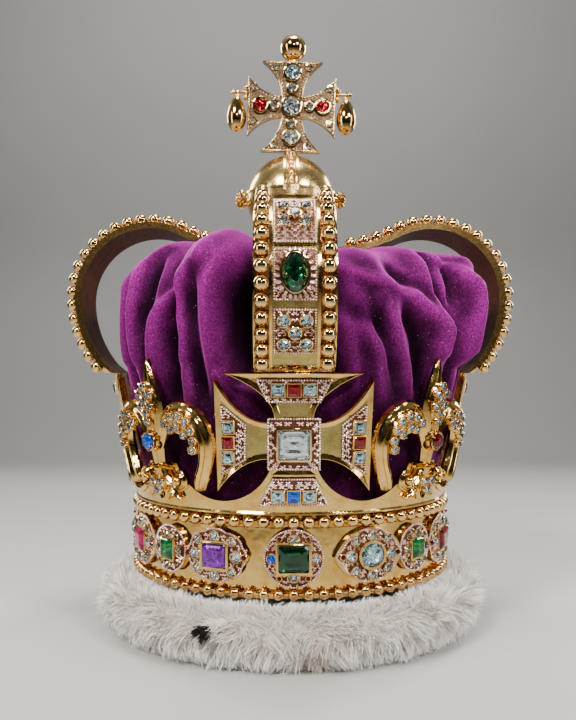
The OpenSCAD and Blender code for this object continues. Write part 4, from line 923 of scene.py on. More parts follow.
def cut_from_rings(rings):
    """Joins rings from the table down to the middle of the back; heights below zero are foiled."""
    points, index = [], []
    for ring in rings:
        index.append(list(range(len(points), len(points) + len(ring))))
        points += [tuple(p) for p in ring]
    faces, paint = [index[0]], [0]
    for k, (a, b) in enumerate(zip(index, index[1:])):
        n = len(a)
        if n == len(b):
            new = [[a[i], a[(i + 1) % n], b[(i + 1) % n], b[i]] for i in range(n)]
        elif len(b) == 1:
            new = [[a[i], a[(i + 1) % n], b[0]] for i in range(n)]
        else:
            new = bridged(a, b)
        faces += new
        paint += [1 if rings[k + 1][0][2] < -0.02 else 0] * len(new)
    return np.array(points), faces, paint


def ring_of(count, radius, heights, shift=0.0):
    t = (np.arange(count) + shift) * 2 * math.pi / count
    heights = np.resize(np.atleast_1d(heights), count)
    return np.stack([radius * np.cos(t), radius * np.sin(t), heights], 1)


def brilliant():
    return cut_from_rings([
        ring_of(8, 0.52, 1.0, 0.5), ring_of(8, 0.8, 0.62), ring_of(16, 1.0, 0.08), ring_of(16, 1.0, 0.0),
        ring_of(16, 0.9, [-0.6, -0.4]), ring_of(16, 0.62, [-1.0, -0.62]),
        ring_of(8, 0.34, [-0.55, -0.95], 0.25),
        [(0.0, 0.0, -0.6)]])


def corner_ring(size, height, cut):
    q = size * (1 - cut)
    return np.array([(size, -q, height), (size, q, height), (q, size, height), (-q, size, height),
                     (-size, q, height), (-size, -q, height), (-q, -size, height), (q, -size, height)])


def step_cut(cut):
    levels = [(0.5, 1.0), (0.68, 0.86), (0.85, 0.6), (1.0, 0.1), (1.0, 0.0), (0.9, -0.6), (0.68, -1.0),
              (0.5, -0.72), (0.26, -0.95)]
    return cut_from_rings([corner_ring(size, height, cut) for size, height in levels] + [[(0.0, 0.0, -0.7)]])


CUTS = {"round": brilliant(), "step": step_cut(0.2), "square": step_cut(0.09)}
print({name: len(cut[1]) for name, cut in CUTS.items()}, "faces in each cut")

# %% Putting stones and their collets in place
CLAW_UP = (0.31, 0.17, 0.94)
stones = {}
collets = Heap()
SURFACES = {"band": on_band, "wall": on_wall, "arch": on_arch}


def placed(local, surface, centre, turn, roll=0.0):
    """Local points (x, y, height) laid at a place on one of the crown's surfaces."""
    if roll:
        local = turned(local, roll)
    x, y, proud = local[:, 0], local[:, 1], centre[2] + local[:, 2]
    across, along, seat = centre
    if surface == "top":
        return finial(np.stack([across + x, -proud, along + y], 1))
    if surface == "band":
        # a stone is rigid, so it lies on the tangent plane of the curved band
        turn = turn + math.degrees(across / BAND_R)
        flat = np.stack([x, -(BAND_R + seat + local[:, 2]), along + y], 1)
    elif surface == "wall":
        r = wall_radius(along)
        turn = turn + math.degrees(math.asin(across / r))
        flat = np.stack([x, -(r + proud * math.cos(LEAN) + y * math.sin(LEAN)),
                         along - proud * math.sin(LEAN) + y * math.cos(LEAN)], 1)
    else:
        p, q, n = on_arch(np.array([(0.0, along, seat)] * 3) + [(0, 0, 0), (0, 0.05, 0), (0, 0, 1)])
        way = (q - p) / np.linalg.norm(q - p)
        flat = p + (across + local[:, :1]) * (1.0, 0, 0) + local[:, 1:2] * way + local[:, 2:] * (n - p)
    return turned(flat, turn)


def set_stone(group, gem_name, cut, surface, centre, length, width, rise, depth, turn=0.0):
    """A stone in a group; rise is its height over the girdle and depth its height below."""
    points, faces, paint = CUTS[cut]
    local = points * np.array([length / 2, width / 2, 1.0])
    local[:, 2] *= np.where(local[:, 2] > 0, rise, depth)
    heap = stones.setdefault(group, Heap())
    base = 2 * gem_order.index(gem_name)
    heap.add(placed(local, surface, centre, turn), faces, [base + p for p in paint])


def collet(surface, centre, length, width, low, high, turn=0.0, wall=0.55, square=False, claws=0):
    """A thin wall of metal round a stone, with claws bent over its edge."""
    if square:
        outline = corner_ring(1.0, 0.0, 0.1)[:, :2]
    else:
        outline = ring_of(24 if length > 8 else 14, 1.0, 0.0)[:, :2]
    half = np.array([length / 2, width / 2])
    section = ((0.16 + wall, low), (0.1 + wall, high - 0.25), (0.02 + wall * 0.6, high), (-0.12, high - 0.02),
               (0.04, low))
    rings = [np.column_stack([outline * (half + grow), np.full(len(outline), height)])
             for grow, height in section]
    points, faces = joined_rings(rings + [rings[0]], caps=False)
    collets.add(placed(points, surface, centre, turn), faces)
    for k in range(claws):
        t = 2 * math.pi * (k + 0.5) / claws
        way = np.array([math.cos(t), math.sin(t)])
        if square:
            way = way / np.max(np.abs(way)) * 0.93
        tip = [(*(way * (half + out)), height) for out, height in (
            (wall + 0.1, low), (wall, high + 0.1), (0.1, high + 0.5), (-0.55, high + 0.62))]
        path = placed(np.array(tip, float), surface, centre, turn)
        collets.add(*tube(path, [0.42, 0.42, 0.38, 0.22], 5, up=CLAW_UP))


print("collets and stones can be placed on", list(SURFACES) + ["top"])

# %% The sixteen jewels of the band
STEP = 22.5
SETTING_T = 3.4
# kind of setting, cut, stone
band_jewels = [
    ("disc", "step", "dark_green"), ("point", "round", "aqua"), ("small", "step", "green"),
    ("rose", "step", "red"), ("disc", "round", "blue"), ("point", "step", "violet"),
    ("small", "step", "green"), ("rose", "round", "aqua"), ("disc", "step", "dark_green"),
    ("point", "round", "red"), ("small", "step", "green"), ("rose", "step", "blue"),
    ("disc", "round", "clear"), ("point", "step", "pink"), ("small", "step", "green"),
    ("rose", "step", "violet")]


def jewel_turn(k):
    return STEP * k + 3 * (0, 1, 0, -1)[k % 4]


def jewel_size(k):
    scale = 0.9 if k % 2 else (1.0 if k % 4 == 0 else 0.78)
    return (0.62 if k % 4 == 2 else scale) * 16.4, scale * 14.6


for k, (kind, cut, gem_name) in enumerate(band_jewels):
    length, width = jewel_size(k)
    roundish = cut == "round"
    set_stone(f"band_jewel_{k}", gem_name, cut, "band", (0, JEWEL_Z, SETTING_T + 1.25), length, width,
              3.0 if roundish else 2.7, 1.1, jewel_turn(k))
print(len(band_jewels), "band jewels set")

# %% [markdown]
# Each of the four crosses is a flat plate, filed to a broad bright bevel along its edge and left satin
# inside. It is drawn flat, as on a goldsmith's bench: the outline is repeated inward, each copy at its own
# height. The plate is then cut into narrow strips and bent onto the leaning wall, so that it follows the
# crown's curve.

# %% The cross drawn flat
FLARE, FLARE_STEPS = math.radians(40), 9
CROSS_WAIST, CROSS_SIDE_HALF, CROSS_TOP_HALF = 9.6, 41.3, 37.0


def flare_curve(start, end):
    """A curve that leaves a waist along its arm and flares out to a tip."""
    t = np.linspace(0, 1, FLARE_STEPS + 1) * FLARE
    a = (1 - np.cos(t)) / (1 - math.cos(FLARE))
    b = np.sin(t) / math.sin(FLARE)
    return [(start[0] + (end[0] - start[0]) * u, start[1] + (end[1] - start[1]) * v) for u, v in zip(a, b)]


def swapped(points):
    return [(b, a) for a, b in points]


def both_sides(half):
    """A right half, listed from its foot to its top, and its mirror image."""
    return np.array(list(half) + [(-x, y) for x, y in half[::-1]])


right_half = [(12.2, TOOTH_Z - 4), (10.5, TOOTH_Z), (CROSS_WAIST, TOOTH_Z + 2.9)]
right_half += swapped(flare_curve(
    (CROSS_Z - CROSS_WAIST + 1.5, 13.0), (CROSS_Z - 26.5, CROSS_SIDE_HALF - 1.6)))
right_half += swapped(flare_curve((CROSS_Z + CROSS_WAIST + 1.5, 13.0), (CROSS_Z + 34, CROSS_SIDE_HALF)))[::-1]
right_half += flare_curve((CROSS_WAIST + 0.6, CROSS_Z + 13.2), (CROSS_TOP_HALF, CROSS_TOP_Z))
cross_lines = both_sides(right_half)
print("cross outline has", len(cross_lines), "points")


# %% Working a plate's edge
from mathutils.geometry import delaunay_2d_cdt

BEND_STRIP = 3.0


def distance_to(points, outline):
    """The least distance from each point to a closed outline."""
    a, b = outline, np.roll(outline, -1, 0)
    ab = b - a
    t = np.clip(((points[:, None] - a) * ab).sum(2) / ((ab ** 2).sum(1) + 1e-12), 0, 1)
    return np.linalg.norm(points[:, None] - (a + t[..., None] * ab), axis=2).min(1)


def inset(outline, d):
    """The outline moved inward; where a narrow tip can't take it, points meet where its two sides cross."""
    if d < 1e-6:
        return outline.copy()
    before, after = np.roll(outline, 1, 0), np.roll(outline, -1, 0)
    u = (outline - before) / (np.linalg.norm(outline - before, axis=1)[:, None] + 1e-9)
    v = (after - outline) / (np.linalg.norm(after - outline, axis=1)[:, None] + 1e-9)
    sign = 1 if np.sum(outline[:, 0] * after[:, 1] - after[:, 0] * outline[:, 1]) > 0 else -1
    nu, nv = sign * np.stack([-u[:, 1], u[:, 0]], 1), sign * np.stack([-v[:, 1], v[:, 0]], 1)
    middle = nu + nv
    moved = outline + d * middle / np.maximum((middle * nu).sum(1), 0.05)[:, None]
    good = distance_to(moved, outline) > d * 0.97
    n = len(outline)
    if good.all():
        return moved
    start = next(k for k in range(n) if good[k] and not good[(k + 1) % n])
    k = start
    while True:
        nxt = (k + 1) % n
        if good[k] and not good[nxt]:
            end = nxt
            while not good[end]:
                end = (end + 1) % n
            p, q = moved[k], moved[end]
            dp, dq = p - moved[k - 1], q - moved[(end + 1) % n]
            det = dp[0] * dq[1] - dp[1] * dq[0]
            t = ((q - p)[0] * dq[1] - (q - p)[1] * dq[0]) / det if abs(det) > 1e-6 else 0
            tip = p + dp * t if 0 <= t < 60 else (p + q) / 2
            j = nxt
            while j != end:
                moved[j] = tip
                j = (j + 1) % n
            k = end
        else:
            k = nxt
        if k == start or (k - start) % n == 0:
            break
    return moved


def relief(outline, levels, back):
    """A plate in across, height and proud, with its edge worked to the given levels of inset and proud."""
    bm = bmesh.new()
    rings = []
    for d, proud in [(0.0, back)] + list(levels):
        ring, last = [], None
        for p in inset(outline, d):
            if last is None or np.linalg.norm(p - last) > 1e-4:
                ring.append(bm.verts.new((p[0], p[1], proud)))
            else:
                ring.append(ring[-1])
            last = p
        rings.append(ring)
    n = len(outline)
    for low_ring, high_ring in zip(rings, rings[1:]):
        for j in range(n):
            k = (j + 1) % n
            corners = list(dict.fromkeys([low_ring[j], low_ring[k], high_ring[k], high_ring[j]]))
            if len(corners) > 2:
                bm.faces.new(corners)
    for ring, order in ((rings[-1], 1), (rings[0], -1)):
        ring = list(dict.fromkeys(ring))
        flat = [v.co.xy for v in ring]
        spots, _, corners3, origin, _, _ = delaunay_2d_cdt(flat, [], [list(range(len(ring)))], 1, 1e-4)
        level = ring[0].co.z
        spot_verts = [ring[o[0]] if o else bm.verts.new((*spot, level)) for spot, o in zip(spots, origin)]
        for corner in corners3:
            bm.faces.new([spot_verts[i] for i in corner][::order])
    bm.normal_update()
    low, high = outline[:, 0].min(), outline[:, 0].max()
    for cut in np.arange(math.ceil(low / BEND_STRIP) * BEND_STRIP, high, BEND_STRIP):
        bmesh.ops.bisect_plane(bm, geom=bm.verts[:] + bm.edges[:] + bm.faces[:], plane_co=(cut, 0, 0),
                               plane_no=(1, 0, 0), dist=1e-4)
    bm.verts.index_update()
    points = np.array([v.co[:] for v in bm.verts])
    faces = [[v.index for v in f.verts] for f in bm.faces]
    paint = [1 if abs(f.normal.z) > 0.985 else 0 for f in bm.faces]
    bm.free()
    return points, faces, paint


# %% Four crosses
plate, plate_faces, plate_paint = relief(
    cross_lines, [(0.0, 0.7), (0.3, 1.55), (0.55, 1.65), (2.9, 0.75), (3.15, 0.5)], -2.2)
for name, turn_now in QUARTERS.items():
    heap = Heap()
    heap.add(on_wall(plate, turn_now), plate_faces, plate_paint)
    cross = heap.make(f"wall_cross_{name}", [polished_gold, satin_gold], "gold", sharp=14)
    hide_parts(f"cross_{name}")

# %% The crosses' stones
ARM_STONE, ARM_PITCH, SEAT = 6.8, 8.0, 2.7
foot_z = RIM_Z + 3 + 13.5 * 0.42
for name, turn_now in QUARTERS.items():
    set_stone(f"cross_jewel_{name}", "clear", "step", "wall", (0, CROSS_Z, 3.2), 16.6, 16.2,
              3.6, 1.3, turn_now)
    collet("wall", (0, CROSS_Z, 0), 16.6, 16.2, 0.4, 3.7, turn_now, square=True, wall=0.7)
    rows = [((k * ARM_PITCH, CROSS_TOP_Z - 8.8), "red" if k == 0 else "aqua") for k in (-1, 0, 1)]
    rows += [((s * (CROSS_SIDE_HALF - 7.8), CROSS_Z + k * ARM_PITCH + 0.6), "red" if k == 0 else "aqua")
             for s in (-1, 1) for k in (-1, 0, 1)]
    rows += [((k * ARM_PITCH, foot_z), "blue" if k == 0 else "aqua") for k in (-1, 0, 1)]
    length, width = ARM_STONE, ARM_STONE - 0.1
    for (across, z), gem_name in rows:
        set_stone("cross_small_gems", gem_name, "square", "wall", (across, z, SEAT), length, width,
                  1.7, 0.8, turn_now)
        collet("wall", (across, z, 0), length, width, 0.4, SEAT + 0.35, turn_now, square=True, wall=0.3)
print("crosses made")

# %% [markdown]
# A lily flower stands between each two crosses. Its middle petal is a leaf with a ridge, its side petals roll
# over and hang down in a hook that ends in a fluted foot. Both are swept forms: a section that is drawn once,
# made wider or narrower along a path, as a carver would follow the same petal with one gouge.

# %% Petals
LILY_PROUD = 1.4


def swept(path, widths, heights, section, base):
    """A half-round form in across, height and proud that follows a path on the wall."""
    path = np.asarray(path, float)
    step = np.gradient(path, axis=0)
    step /= np.linalg.norm(step, axis=1)[:, None]
    side = np.stack([step[:, 1], -step[:, 0]], 1)
    u, h = section
    rings = []
    for p, s, w, top in zip(path, side, widths, heights):
        front = np.column_stack([p + np.outer(u * w / 2, s), base + h * top])
        back = np.column_stack([p + np.outer(u[::-1][1:-1] * w / 2 * 0.9, s),
                                np.full(len(u) - 2, base - 1.6)])
        rings.append(np.concatenate([front, back]))
    return joined_rings(rings)


def smooth_line(rows, count):
    rows = np.array(rows, float)
    return along_rows(rows, np.linspace(0, len(rows) - 1, count))


# a section is one line across the petal and its height there, with two grooves or a ridge
side_u = np.linspace(-1, 1, 15)
side_far = np.abs(side_u)
groove = 1 - 0.16 * np.cos(side_u * math.pi * 3.0)
round_section = (side_u, np.sqrt(np.clip(1 - side_u ** 2, 0, 1)) * groove + 0.05)
rib = 0.16 * np.sin(side_far * math.pi * 2.6) * (side_far > 0.2)
leaf_section = (side_u, 0.25 + 0.9 * (1 - side_far) ** 0.8 - rib)
# each point of a petal's path: across, height over the rim, width, thickness
hook = smooth_line([
    (3.0, 33, 5, 2.6), (9, 45, 8.5, 3.6), (18.5, 53.2, 10.5, 4.4), (29.5, 49.5, 10.8, 4.8),
    (34.2, 37.5, 9.4, 5.0),
    (32.4, 26, 8.2, 4.8), (29.4, 17.5, 8.8, 5.2), (27.6, 12.2, 7.2, 4.4), (27.2, 10.2, 2.2, 1.2)], 40)
leaf = smooth_line([
    (0, 8, 8, 3.0), (0, 20, 7, 3.4), (0, 32, 9, 4.2), (0, 44, 14, 4.4), (0, 54, 15.6, 4.2),
    (0, 64, 12.6, 3.6),
    (0, 73, 6.6, 2.8), (0, 79, 1.6, 1.8), (0, 80.6, 0.3, 1.0)], 34)
base_curl = smooth_line([
    (2, 22, 4, 2.4), (6, 15.5, 5, 2.8), (12.5, 11.2, 5.2, 3.0), (17.2, 13.6, 4.6, 3.0),
    (16.6, 18.4, 4.0, 2.8),
    (12.8, 18.6, 3.6, 2.6), (11.9, 15.6, 2.8, 2.2)], 26)
base_leaf = smooth_line([(1.5, 4, 3, 1.8), (4.5, 9, 4.5, 2.2), (8.5, 7.6, 4, 2.2), (12, 4.6, 2, 1.4)], 12)
collar = smooth_line([
    (-9.6, 21.8, 2.6, 2.2), (-4, 22.6, 3.8, 4.4), (0, 22.8, 4.0, 5.0), (4, 22.6, 3.8, 4.4),
    (9.6, 21.8, 2.6, 2.2)], 16)


def add_petal(heap, rows, section, turn_now, mirror=1):
    path = rows[:, :2] * (mirror, 1) + (0, RIM_Z)
    points, faces = swept(path, rows[:, 2], rows[:, 3], section, LILY_PROUD)
    heap.add(on_wall(points, turn_now), faces)


leaf_small = [(0, 66.5), (-3.9, 62.6), (3.9, 62.6), (0, 59.4), (-3.6, 56.0), (3.6, 56.0),
              (0, 52.2), (0, 47.6)]
hook_small = [(13.5, 47.0), (17.6, 50.6), (22.4, 51.2), (26.6, 48.2), (29.0, 43.6), (29.6, 38.4),
              (21.0, 45.6), (17.0, 44.0), (25.0, 41.5), (28.6, 33.6)]
foot_small = [(-3.1, 14.6), (3.1, 14.6), (0, 9.8)]
both_hooks = [(s * x, z) for s in (-1, 1) for x, z in hook_small]
# across and height of the middle, half width, half height, foot, top
lily_bosses = [(0, 37, 5.6, 5.6, 3.0, 7.0), (0, 57.5, 5.8, 11.0, 3.5, 6.3), (0, 13.5, 5.4, 4.0, 2.0, 5.4)]
lily_hearts = {"front_left": "blue", "front_right": "garnet", "back_right": "red", "back_left": "blue"}
boss = ring_of(24, 1.0, 0.0)
for name, turn_now in CORNERS.items():
    heap = Heap()
    add_petal(heap, leaf, leaf_section, turn_now)
    for s in (-1, 1):
        for rows in (hook, base_curl, base_leaf):
            add_petal(heap, rows, round_section, turn_now, s)
        points, faces = ball(np.zeros(3), 2.7, 12, 8)
        heap.add(placed(points, "wall", (s * 13.4, RIM_Z + 15.4, 4.6), turn_now), faces)
    add_petal(heap, collar, round_section, turn_now)
    for cx, cz, rx, rz, low, high in lily_bosses:
        section = ((0.8, low), (0.5, high - 1.2), (0, high), (-1.2, high + 0.1))
        points, faces = joined_rings([boss * (rx + g, rz + g, 0) + (0, 0, h) for g, h in section])
        heap.add(placed(points, "wall", (cx, RIM_Z + cz, 0), turn_now), faces)
    for s in (-1, 1):
        section = ((0.6, 3.6), (0.4, 6.0), (0, 6.9), (-1.2, 7.0))
        points, faces = joined_rings([boss * (8.6 + g, 4.9 + g, 0) + (0, 0, h) for g, h in section])
        heap.add(placed(points, "wall", (s * 22.0, RIM_Z + 46.5, 0), turn_now, roll=-s * 12), faces)
    lily = heap.make(f"lily_flower_{name}", [polished_gold], "gold", sharp=40)
    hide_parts(f"lily_{name}")
    heart = lily_hearts[name]
    set_stone(f"lily_jewel_{name}", heart, "round", "wall", (0, RIM_Z + 37, 8.1), 9.4, 9.4,
              2.8, 1.0, turn_now)
    collet("wall", (0, RIM_Z + 37, 0), 9.4, 9.4, 6.6, 8.6, turn_now, claws=6)
    for places, seat, d, rise, low in ((leaf_small, 7.3, 4.5, 1.7, 6.0), (both_hooks, 8.0, 4.3, 1.6, 5.5),
                                       (foot_small, 6.3, 4.9, 1.8, 4.6)):
        for x, z in places:
            set_stone("lily_small_gems", "clear", "round", "wall", (x, RIM_Z + z, seat), d, d,
                      rise, 0.8, turn_now)
            collet("wall", (x, RIM_Z + z, 0), d, d, low, seat + 0.3, turn_now, claws=4, wall=0.35)
print("lilies made")

# %% [markdown]
# Between the stones lie small scrolls and studs of paler, rosy gold over a dark sheet of painted shade. Chased
# work like this is read as a texture of bright curls over shadow, so it is laid out by rule: studs along the
# edge of each plaque and curls wherever there is room, the right half mirrored to the left.

# %% Scrolls, studs and the painted shade behind them
scrolls, ground, extra_gold = Heap(), Heap(), Heap()


def inside(points, outline):
    """Which points lie in a closed outline."""
    x, y = points[:, 0][:, None], points[:, 1][:, None]
    a, b = outline, np.roll(outline, -1, 0)
    crosses = (a[:, 1] > y) != (b[:, 1] > y)
    at = a[:, 0] + (y - a[:, 1]) * (b[:, 0] - a[:, 0]) / (b[:, 1] - a[:, 1] + 1e-12)
    return (crosses & (x < at)).sum(1) % 2 == 1


def lay(local, surface, turn_now):
    """Across, up and proud points laid on a surface and bent with it."""
    if surface == "top":
        return finial(np.stack([local[:, 0], -local[:, 2], local[:, 1]], 1))
    return SURFACES[surface](local, turn_now)


def stud(x, y, proud, r, surface, turn_now):
    """A low six-sided knob."""
    t = np.arange(6) * math.pi / 3
    rows = [np.column_stack([x + r * g * np.cos(t), y + r * g * np.sin(t), np.full(6, proud + r * h)])
            for g, h in ((1.0, -0.2), (0.85, 0.6))] + [np.array([(x, y, proud + r * 0.95)])]
    faces = [[i, (i + 1) % 6, 6 + (i + 1) % 6, 6 + i] for i in range(6)]
    faces += [[6 + i, 6 + (i + 1) % 6, 12] for i in range(6)]
    scrolls.add(lay(np.concatenate(rows), surface, turn_now), faces)


def curl(x, y, facing, hand, size, proud, surface, turn_now):
    """A comma-shaped scroll that ends in a small knob."""
    t = np.linspace(0, 1, 7)
    angle = facing + hand * (t * 4.6 - 0.6)
    r = size * (1.0 - 0.62 * t)
    path = np.column_stack([x + r * np.cos(angle), y + r * np.sin(angle), proud + 0.25 + 0.3 * t])
    points, faces = tube(path, size * 0.32 * (0.75 + 0.5 * np.sin(t * math.pi)), 4, squash=1.1)
    scrolls.add(lay(points, surface, turn_now), faces)


def spread(outline, spacing):
    """Points along a closed outline, evenly spaced."""
    loop = np.vstack([outline, outline[:1]])
    run = np.concatenate([[0], np.cumsum(np.linalg.norm(np.diff(loop, axis=0), axis=1))])
    count = max(int(run[-1] / spacing), 3)
    s = np.arange(count) * run[-1] / count
    return np.column_stack([np.interp(s, run, loop[:, 0]), np.interp(s, run, loop[:, 1])])


def ground_sheet(outline, centre, proud):
    """A plain sheet that fills an outline, in rows fine enough to be bent."""
    across, row_gap = 13, 1.6
    low, high = outline[:, 1].min() + 0.02, outline[:, 1].max()
    a, b = outline, np.roll(outline, -1, 0)
    rows = []
    for y in np.append(np.arange(low, high, row_gap), high - 0.02):
        hit = (a[:, 1] > y) != (b[:, 1] > y)
        xs = (a[:, 0] + (y - a[:, 1]) * (b[:, 0] - a[:, 0]) / (b[:, 1] - a[:, 1] + 1e-12))[hit]
        if len(xs) > 1:
            line = np.linspace(xs.min(), xs.max(), across)
            rows.append(np.column_stack([line, np.full(across, y), np.full(across, proud)]))
    starts = [k * across + i for k in range(len(rows) - 1) for i in range(across - 1)]
    faces = [[i, i + 1, i + across + 1, i + across] for i in starts]
    return np.concatenate(rows) + (centre[0], centre[1], 0), faces


def filigree(surface, turn_now, centre, outline, holes, proud, spacing, curl_size, edge=1.35, edge_r=0.62,
             mirror=True):
    """Fills a plaque with curls round its stones, listed as (x, y, half width, half height), and edges it."""
    # painted shade: a dark sheet behind the curls
    points, faces = ground_sheet(outline, centre, proud)
    ground.add(lay(points, surface, turn_now), faces)
    for x, y in spread(inset(outline, edge_r * 0.8), edge):
        stud(centre[0] + x, centre[1] + y, proud, edge_r, surface, turn_now)
    holes = np.array(holes, float).reshape(-1, 4)
    low_x = 0.0 if mirror else outline[:, 0].min()
    first_x = low_x + (0.55 * spacing if mirror else 0)
    gx, gy = np.meshgrid(np.arange(first_x, outline[:, 0].max(), spacing),
                         np.arange(outline[:, 1].min(), outline[:, 1].max(), spacing * 0.86))
    gx = gx + (np.arange(gx.shape[0])[:, None] % 2) * spacing * 0.5
    grid = np.column_stack([gx.ravel(), gy.ravel()])
    ok = inside(grid, outline) & (distance_to(grid, outline) > edge_r + curl_size * 0.85)
    room = curl_size * 0.8
    for hx, hy, hw, hh in holes:
        for sign in ((1, -1) if mirror else (1,)):
            ok &= np.hypot((grid[:, 0] - sign * hx) / (hw + room), (grid[:, 1] - hy) / (hh + room)) > 1.0
    for k, (x, y) in enumerate(grid[ok]):
        near = holes[np.argmin(np.hypot(holes[:, 0] - x, holes[:, 1] - y))]
        facing = math.atan2(y - near[1], x - near[0])
        hand = 1 if k % 2 else -1
        curl(centre[0] + x, centre[1] + y, facing, hand, curl_size, proud, surface, turn_now)
        if mirror and x > 0.3:
            curl(centre[0] - x, centre[1] + y, math.pi - facing, -hand, curl_size, proud, surface, turn_now)


print("scroll and stud tools ready")

# %% Plaques of the crosses
def four_lines(low_w, low, high_w, high):
    """A plaque with a level foot and top, each with its own half width."""
    return np.array([(low_w, low), (high_w, high), (-high_w, high), (-low_w, low)], float)


centre_plaque = four_lines(13.6, -13.6, 13.6, 13.6)
centre_holes = [(0, 0, 9.2, 9.2), (5, 5, 4.4, 4.4), (5, -5, 4.4, 4.4)]
row_holes = [(k * ARM_PITCH, 0, 3.9, 3.9) for k in (-1, 0, 1)]
arm_holes = [(0, k * ARM_PITCH, 3.9, 3.9) for k in (-1, 0, 1)]
for turn_now in QUARTERS.values():
    filigree("wall", turn_now, (0, CROSS_Z), centre_plaque, centre_holes, 1.7, 2.15, 1.0)
    for z, plaque in ((CROSS_TOP_Z - 8.8, four_lines(13.6, -6.6, 19.5, 5.4)),
                      (foot_z, four_lines(18.2, -5.2, 11.0, 9.6))):
        filigree("wall", turn_now, (0, z), plaque, row_holes, 1.6, 2.0, 0.95)
    for s in (-1, 1):
        arm = np.array([(s * (CROSS_SIDE_HALF - back), CROSS_Z + z)
                        for back, z in ((16.6, -8.6), (3.6, -17.0), (3.4, 20.5), (16.6, 10.0))])
        mid = (s * (CROSS_SIDE_HALF - 7.8), CROSS_Z + 0.6)
        filigree("wall", turn_now, mid, arm - mid, arm_holes, 1.0, 2.0, 1.0, mirror=False)
print("cross plaques chased")

# %% Plaques of the arches
ARCH_TOP_S = low_len + math.radians((17.5 + 66) / 2 - 2) * ARCH_TOP_R
ARCH_LOW_S = low_len - math.radians((34.5 + 14.5) / 2) * ARCH_LOW_R
PANEL = PLATE_OUT + PLAQUE_T
quincunx = [(0, 0), (-5.5, -6.1), (5.5, -6.1), (-5.5, 6.1), (5.5, 6.1)]
OVAL_W, OVAL_L, FLOWER_D, FLOWER_SEAT = 12.6, 19.4, 6.3, PANEL + 1.5
flower_holes = [(x, y, 3.0, 3.0) for x, y in quincunx]
for name, turn_now in QUARTERS.items():
    set_stone(f"arch_jewel_{name}", "dark_green", "round", "arch", (0, low_len, FLOWER_SEAT),
              OVAL_W, OVAL_L, 4.2, 1.2, turn_now)
    collet("arch", (0, low_len, PANEL), OVAL_W, OVAL_L, -0.9, 2.0, turn_now, wall=0.7)
    oval_plaque = four_lines(10.6, -13.2, 10.6, 13.2)
    filigree("arch", turn_now, (0, low_len - 0.6), oval_plaque, [(0, 0.6, 7.4, 10.8)], PANEL + 0.12, 2.1, 1.0)
    for k in range(22):
        a = 2 * math.pi * (k + 0.5) / 22
        c, s = math.cos(a), math.sin(a)
        x, y = 7.7 * c, low_len + 11.0 * s
        ray = np.array([(x, y, PANEL + 0.9), (x + 1.2 * c, y + 1.2 * s, PANEL + 1.0),
                        (x + 2.4 * c, y + 2.2 * s, PANEL + 0.5)])
        points, faces = tube(ray, [0.75, 0.8, 0.25], 5)
        scrolls.add(lay(points, "arch", turn_now), faces)
    for s0, half_len, gem_name in ((ARCH_TOP_S, 17.5, "clear"), (ARCH_LOW_S, 12.0, "aqua")):
        plaque = four_lines(10.6, -half_len, 10.6, half_len)
        filigree("arch", turn_now, (0, s0), plaque, flower_holes, PANEL + 0.12, 2.1, 1.0)
        for x, y in quincunx:
            set_stone("arch_small_gems", gem_name, "round", "arch", (x, s0 + y, FLOWER_SEAT),
                      FLOWER_D, FLOWER_D, 2.2, 0.9, turn_now)
            collet("arch", (x, s0 + y, PANEL), FLOWER_D, FLOWER_D, 0.1, 2.0, turn_now, wall=0.4, claws=4)
print("arch plaques chased")

# %% Beads of the arches, each in a ring cup
BEAD_PITCH, BEAD_OUT, BEAD_ACROSS = BEAD_D + 2.1, 0.25, 16.3
CUP_SECTION = ((3.2, -1.9), (3.5, -1.5), (3.85, -1.9), (3.95, -3.3), (3.2, -3.3))
bead_count = int((arch_len - BEAD_D) / BEAD_PITCH)
round_bead, round_bead_faces = ball(np.zeros(3), 3.9, 14, 9)
t = np.arange(16) * 2 * math.pi / 16
for name, turn_now in QUARTERS.items():
    beads, cups = Heap(), Heap()
    for s in (-1, 1):
        for k in range(bead_count):
            at = 3.6 + k * BEAD_PITCH
            beads.add(on_arch(round_bead + (s * BEAD_ACROSS, at, BEAD_OUT), turn_now), round_bead_faces)
            loops = [np.column_stack([
                s * BEAD_ACROSS + r * np.cos(t) * 0.86, at + r * np.sin(t), np.full(16, off)])
                for r, off in CUP_SECTION]
            points, faces = joined_rings(loops + [loops[0]], caps=False)
            cups.add(on_arch(points, turn_now), faces)
    bead_row = beads.make(f"arch_bead_rows_{name}", [bead_gold], "gold", sharp=60)
    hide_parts(f"arch_beads_{name}")
    cups.make(f"bead_cups_{name}", [polished_gold], "gold", sharp=50)
print(bead_count, "beads in each string")

# %% Settings of the band
def lobes(kind):
    """The outline of a band setting."""
    if kind in ("disc", "small"):
        return ring_of(40, 15.4 if kind == "disc" else 13.2, 0.0)[:, :2]
    t = np.arange(120) * 2 * math.pi / 120
    if kind == "rose":
        r = 1.0 + 0.075 * np.abs(np.cos(4 * t)) ** 0.7
        return np.column_stack([16.6 * r * np.cos(t), 13.6 * r * np.sin(t)])
    r = 1.0 + 0.05 * np.abs(np.cos(5 * t))
    point = 1.0 + 0.17 * np.exp(-((np.minimum(t % math.pi, math.pi - t % math.pi)) / 0.3) ** 2)
    return np.column_stack([16.2 * r * point * np.cos(t), 13.9 * r * np.sin(t)])


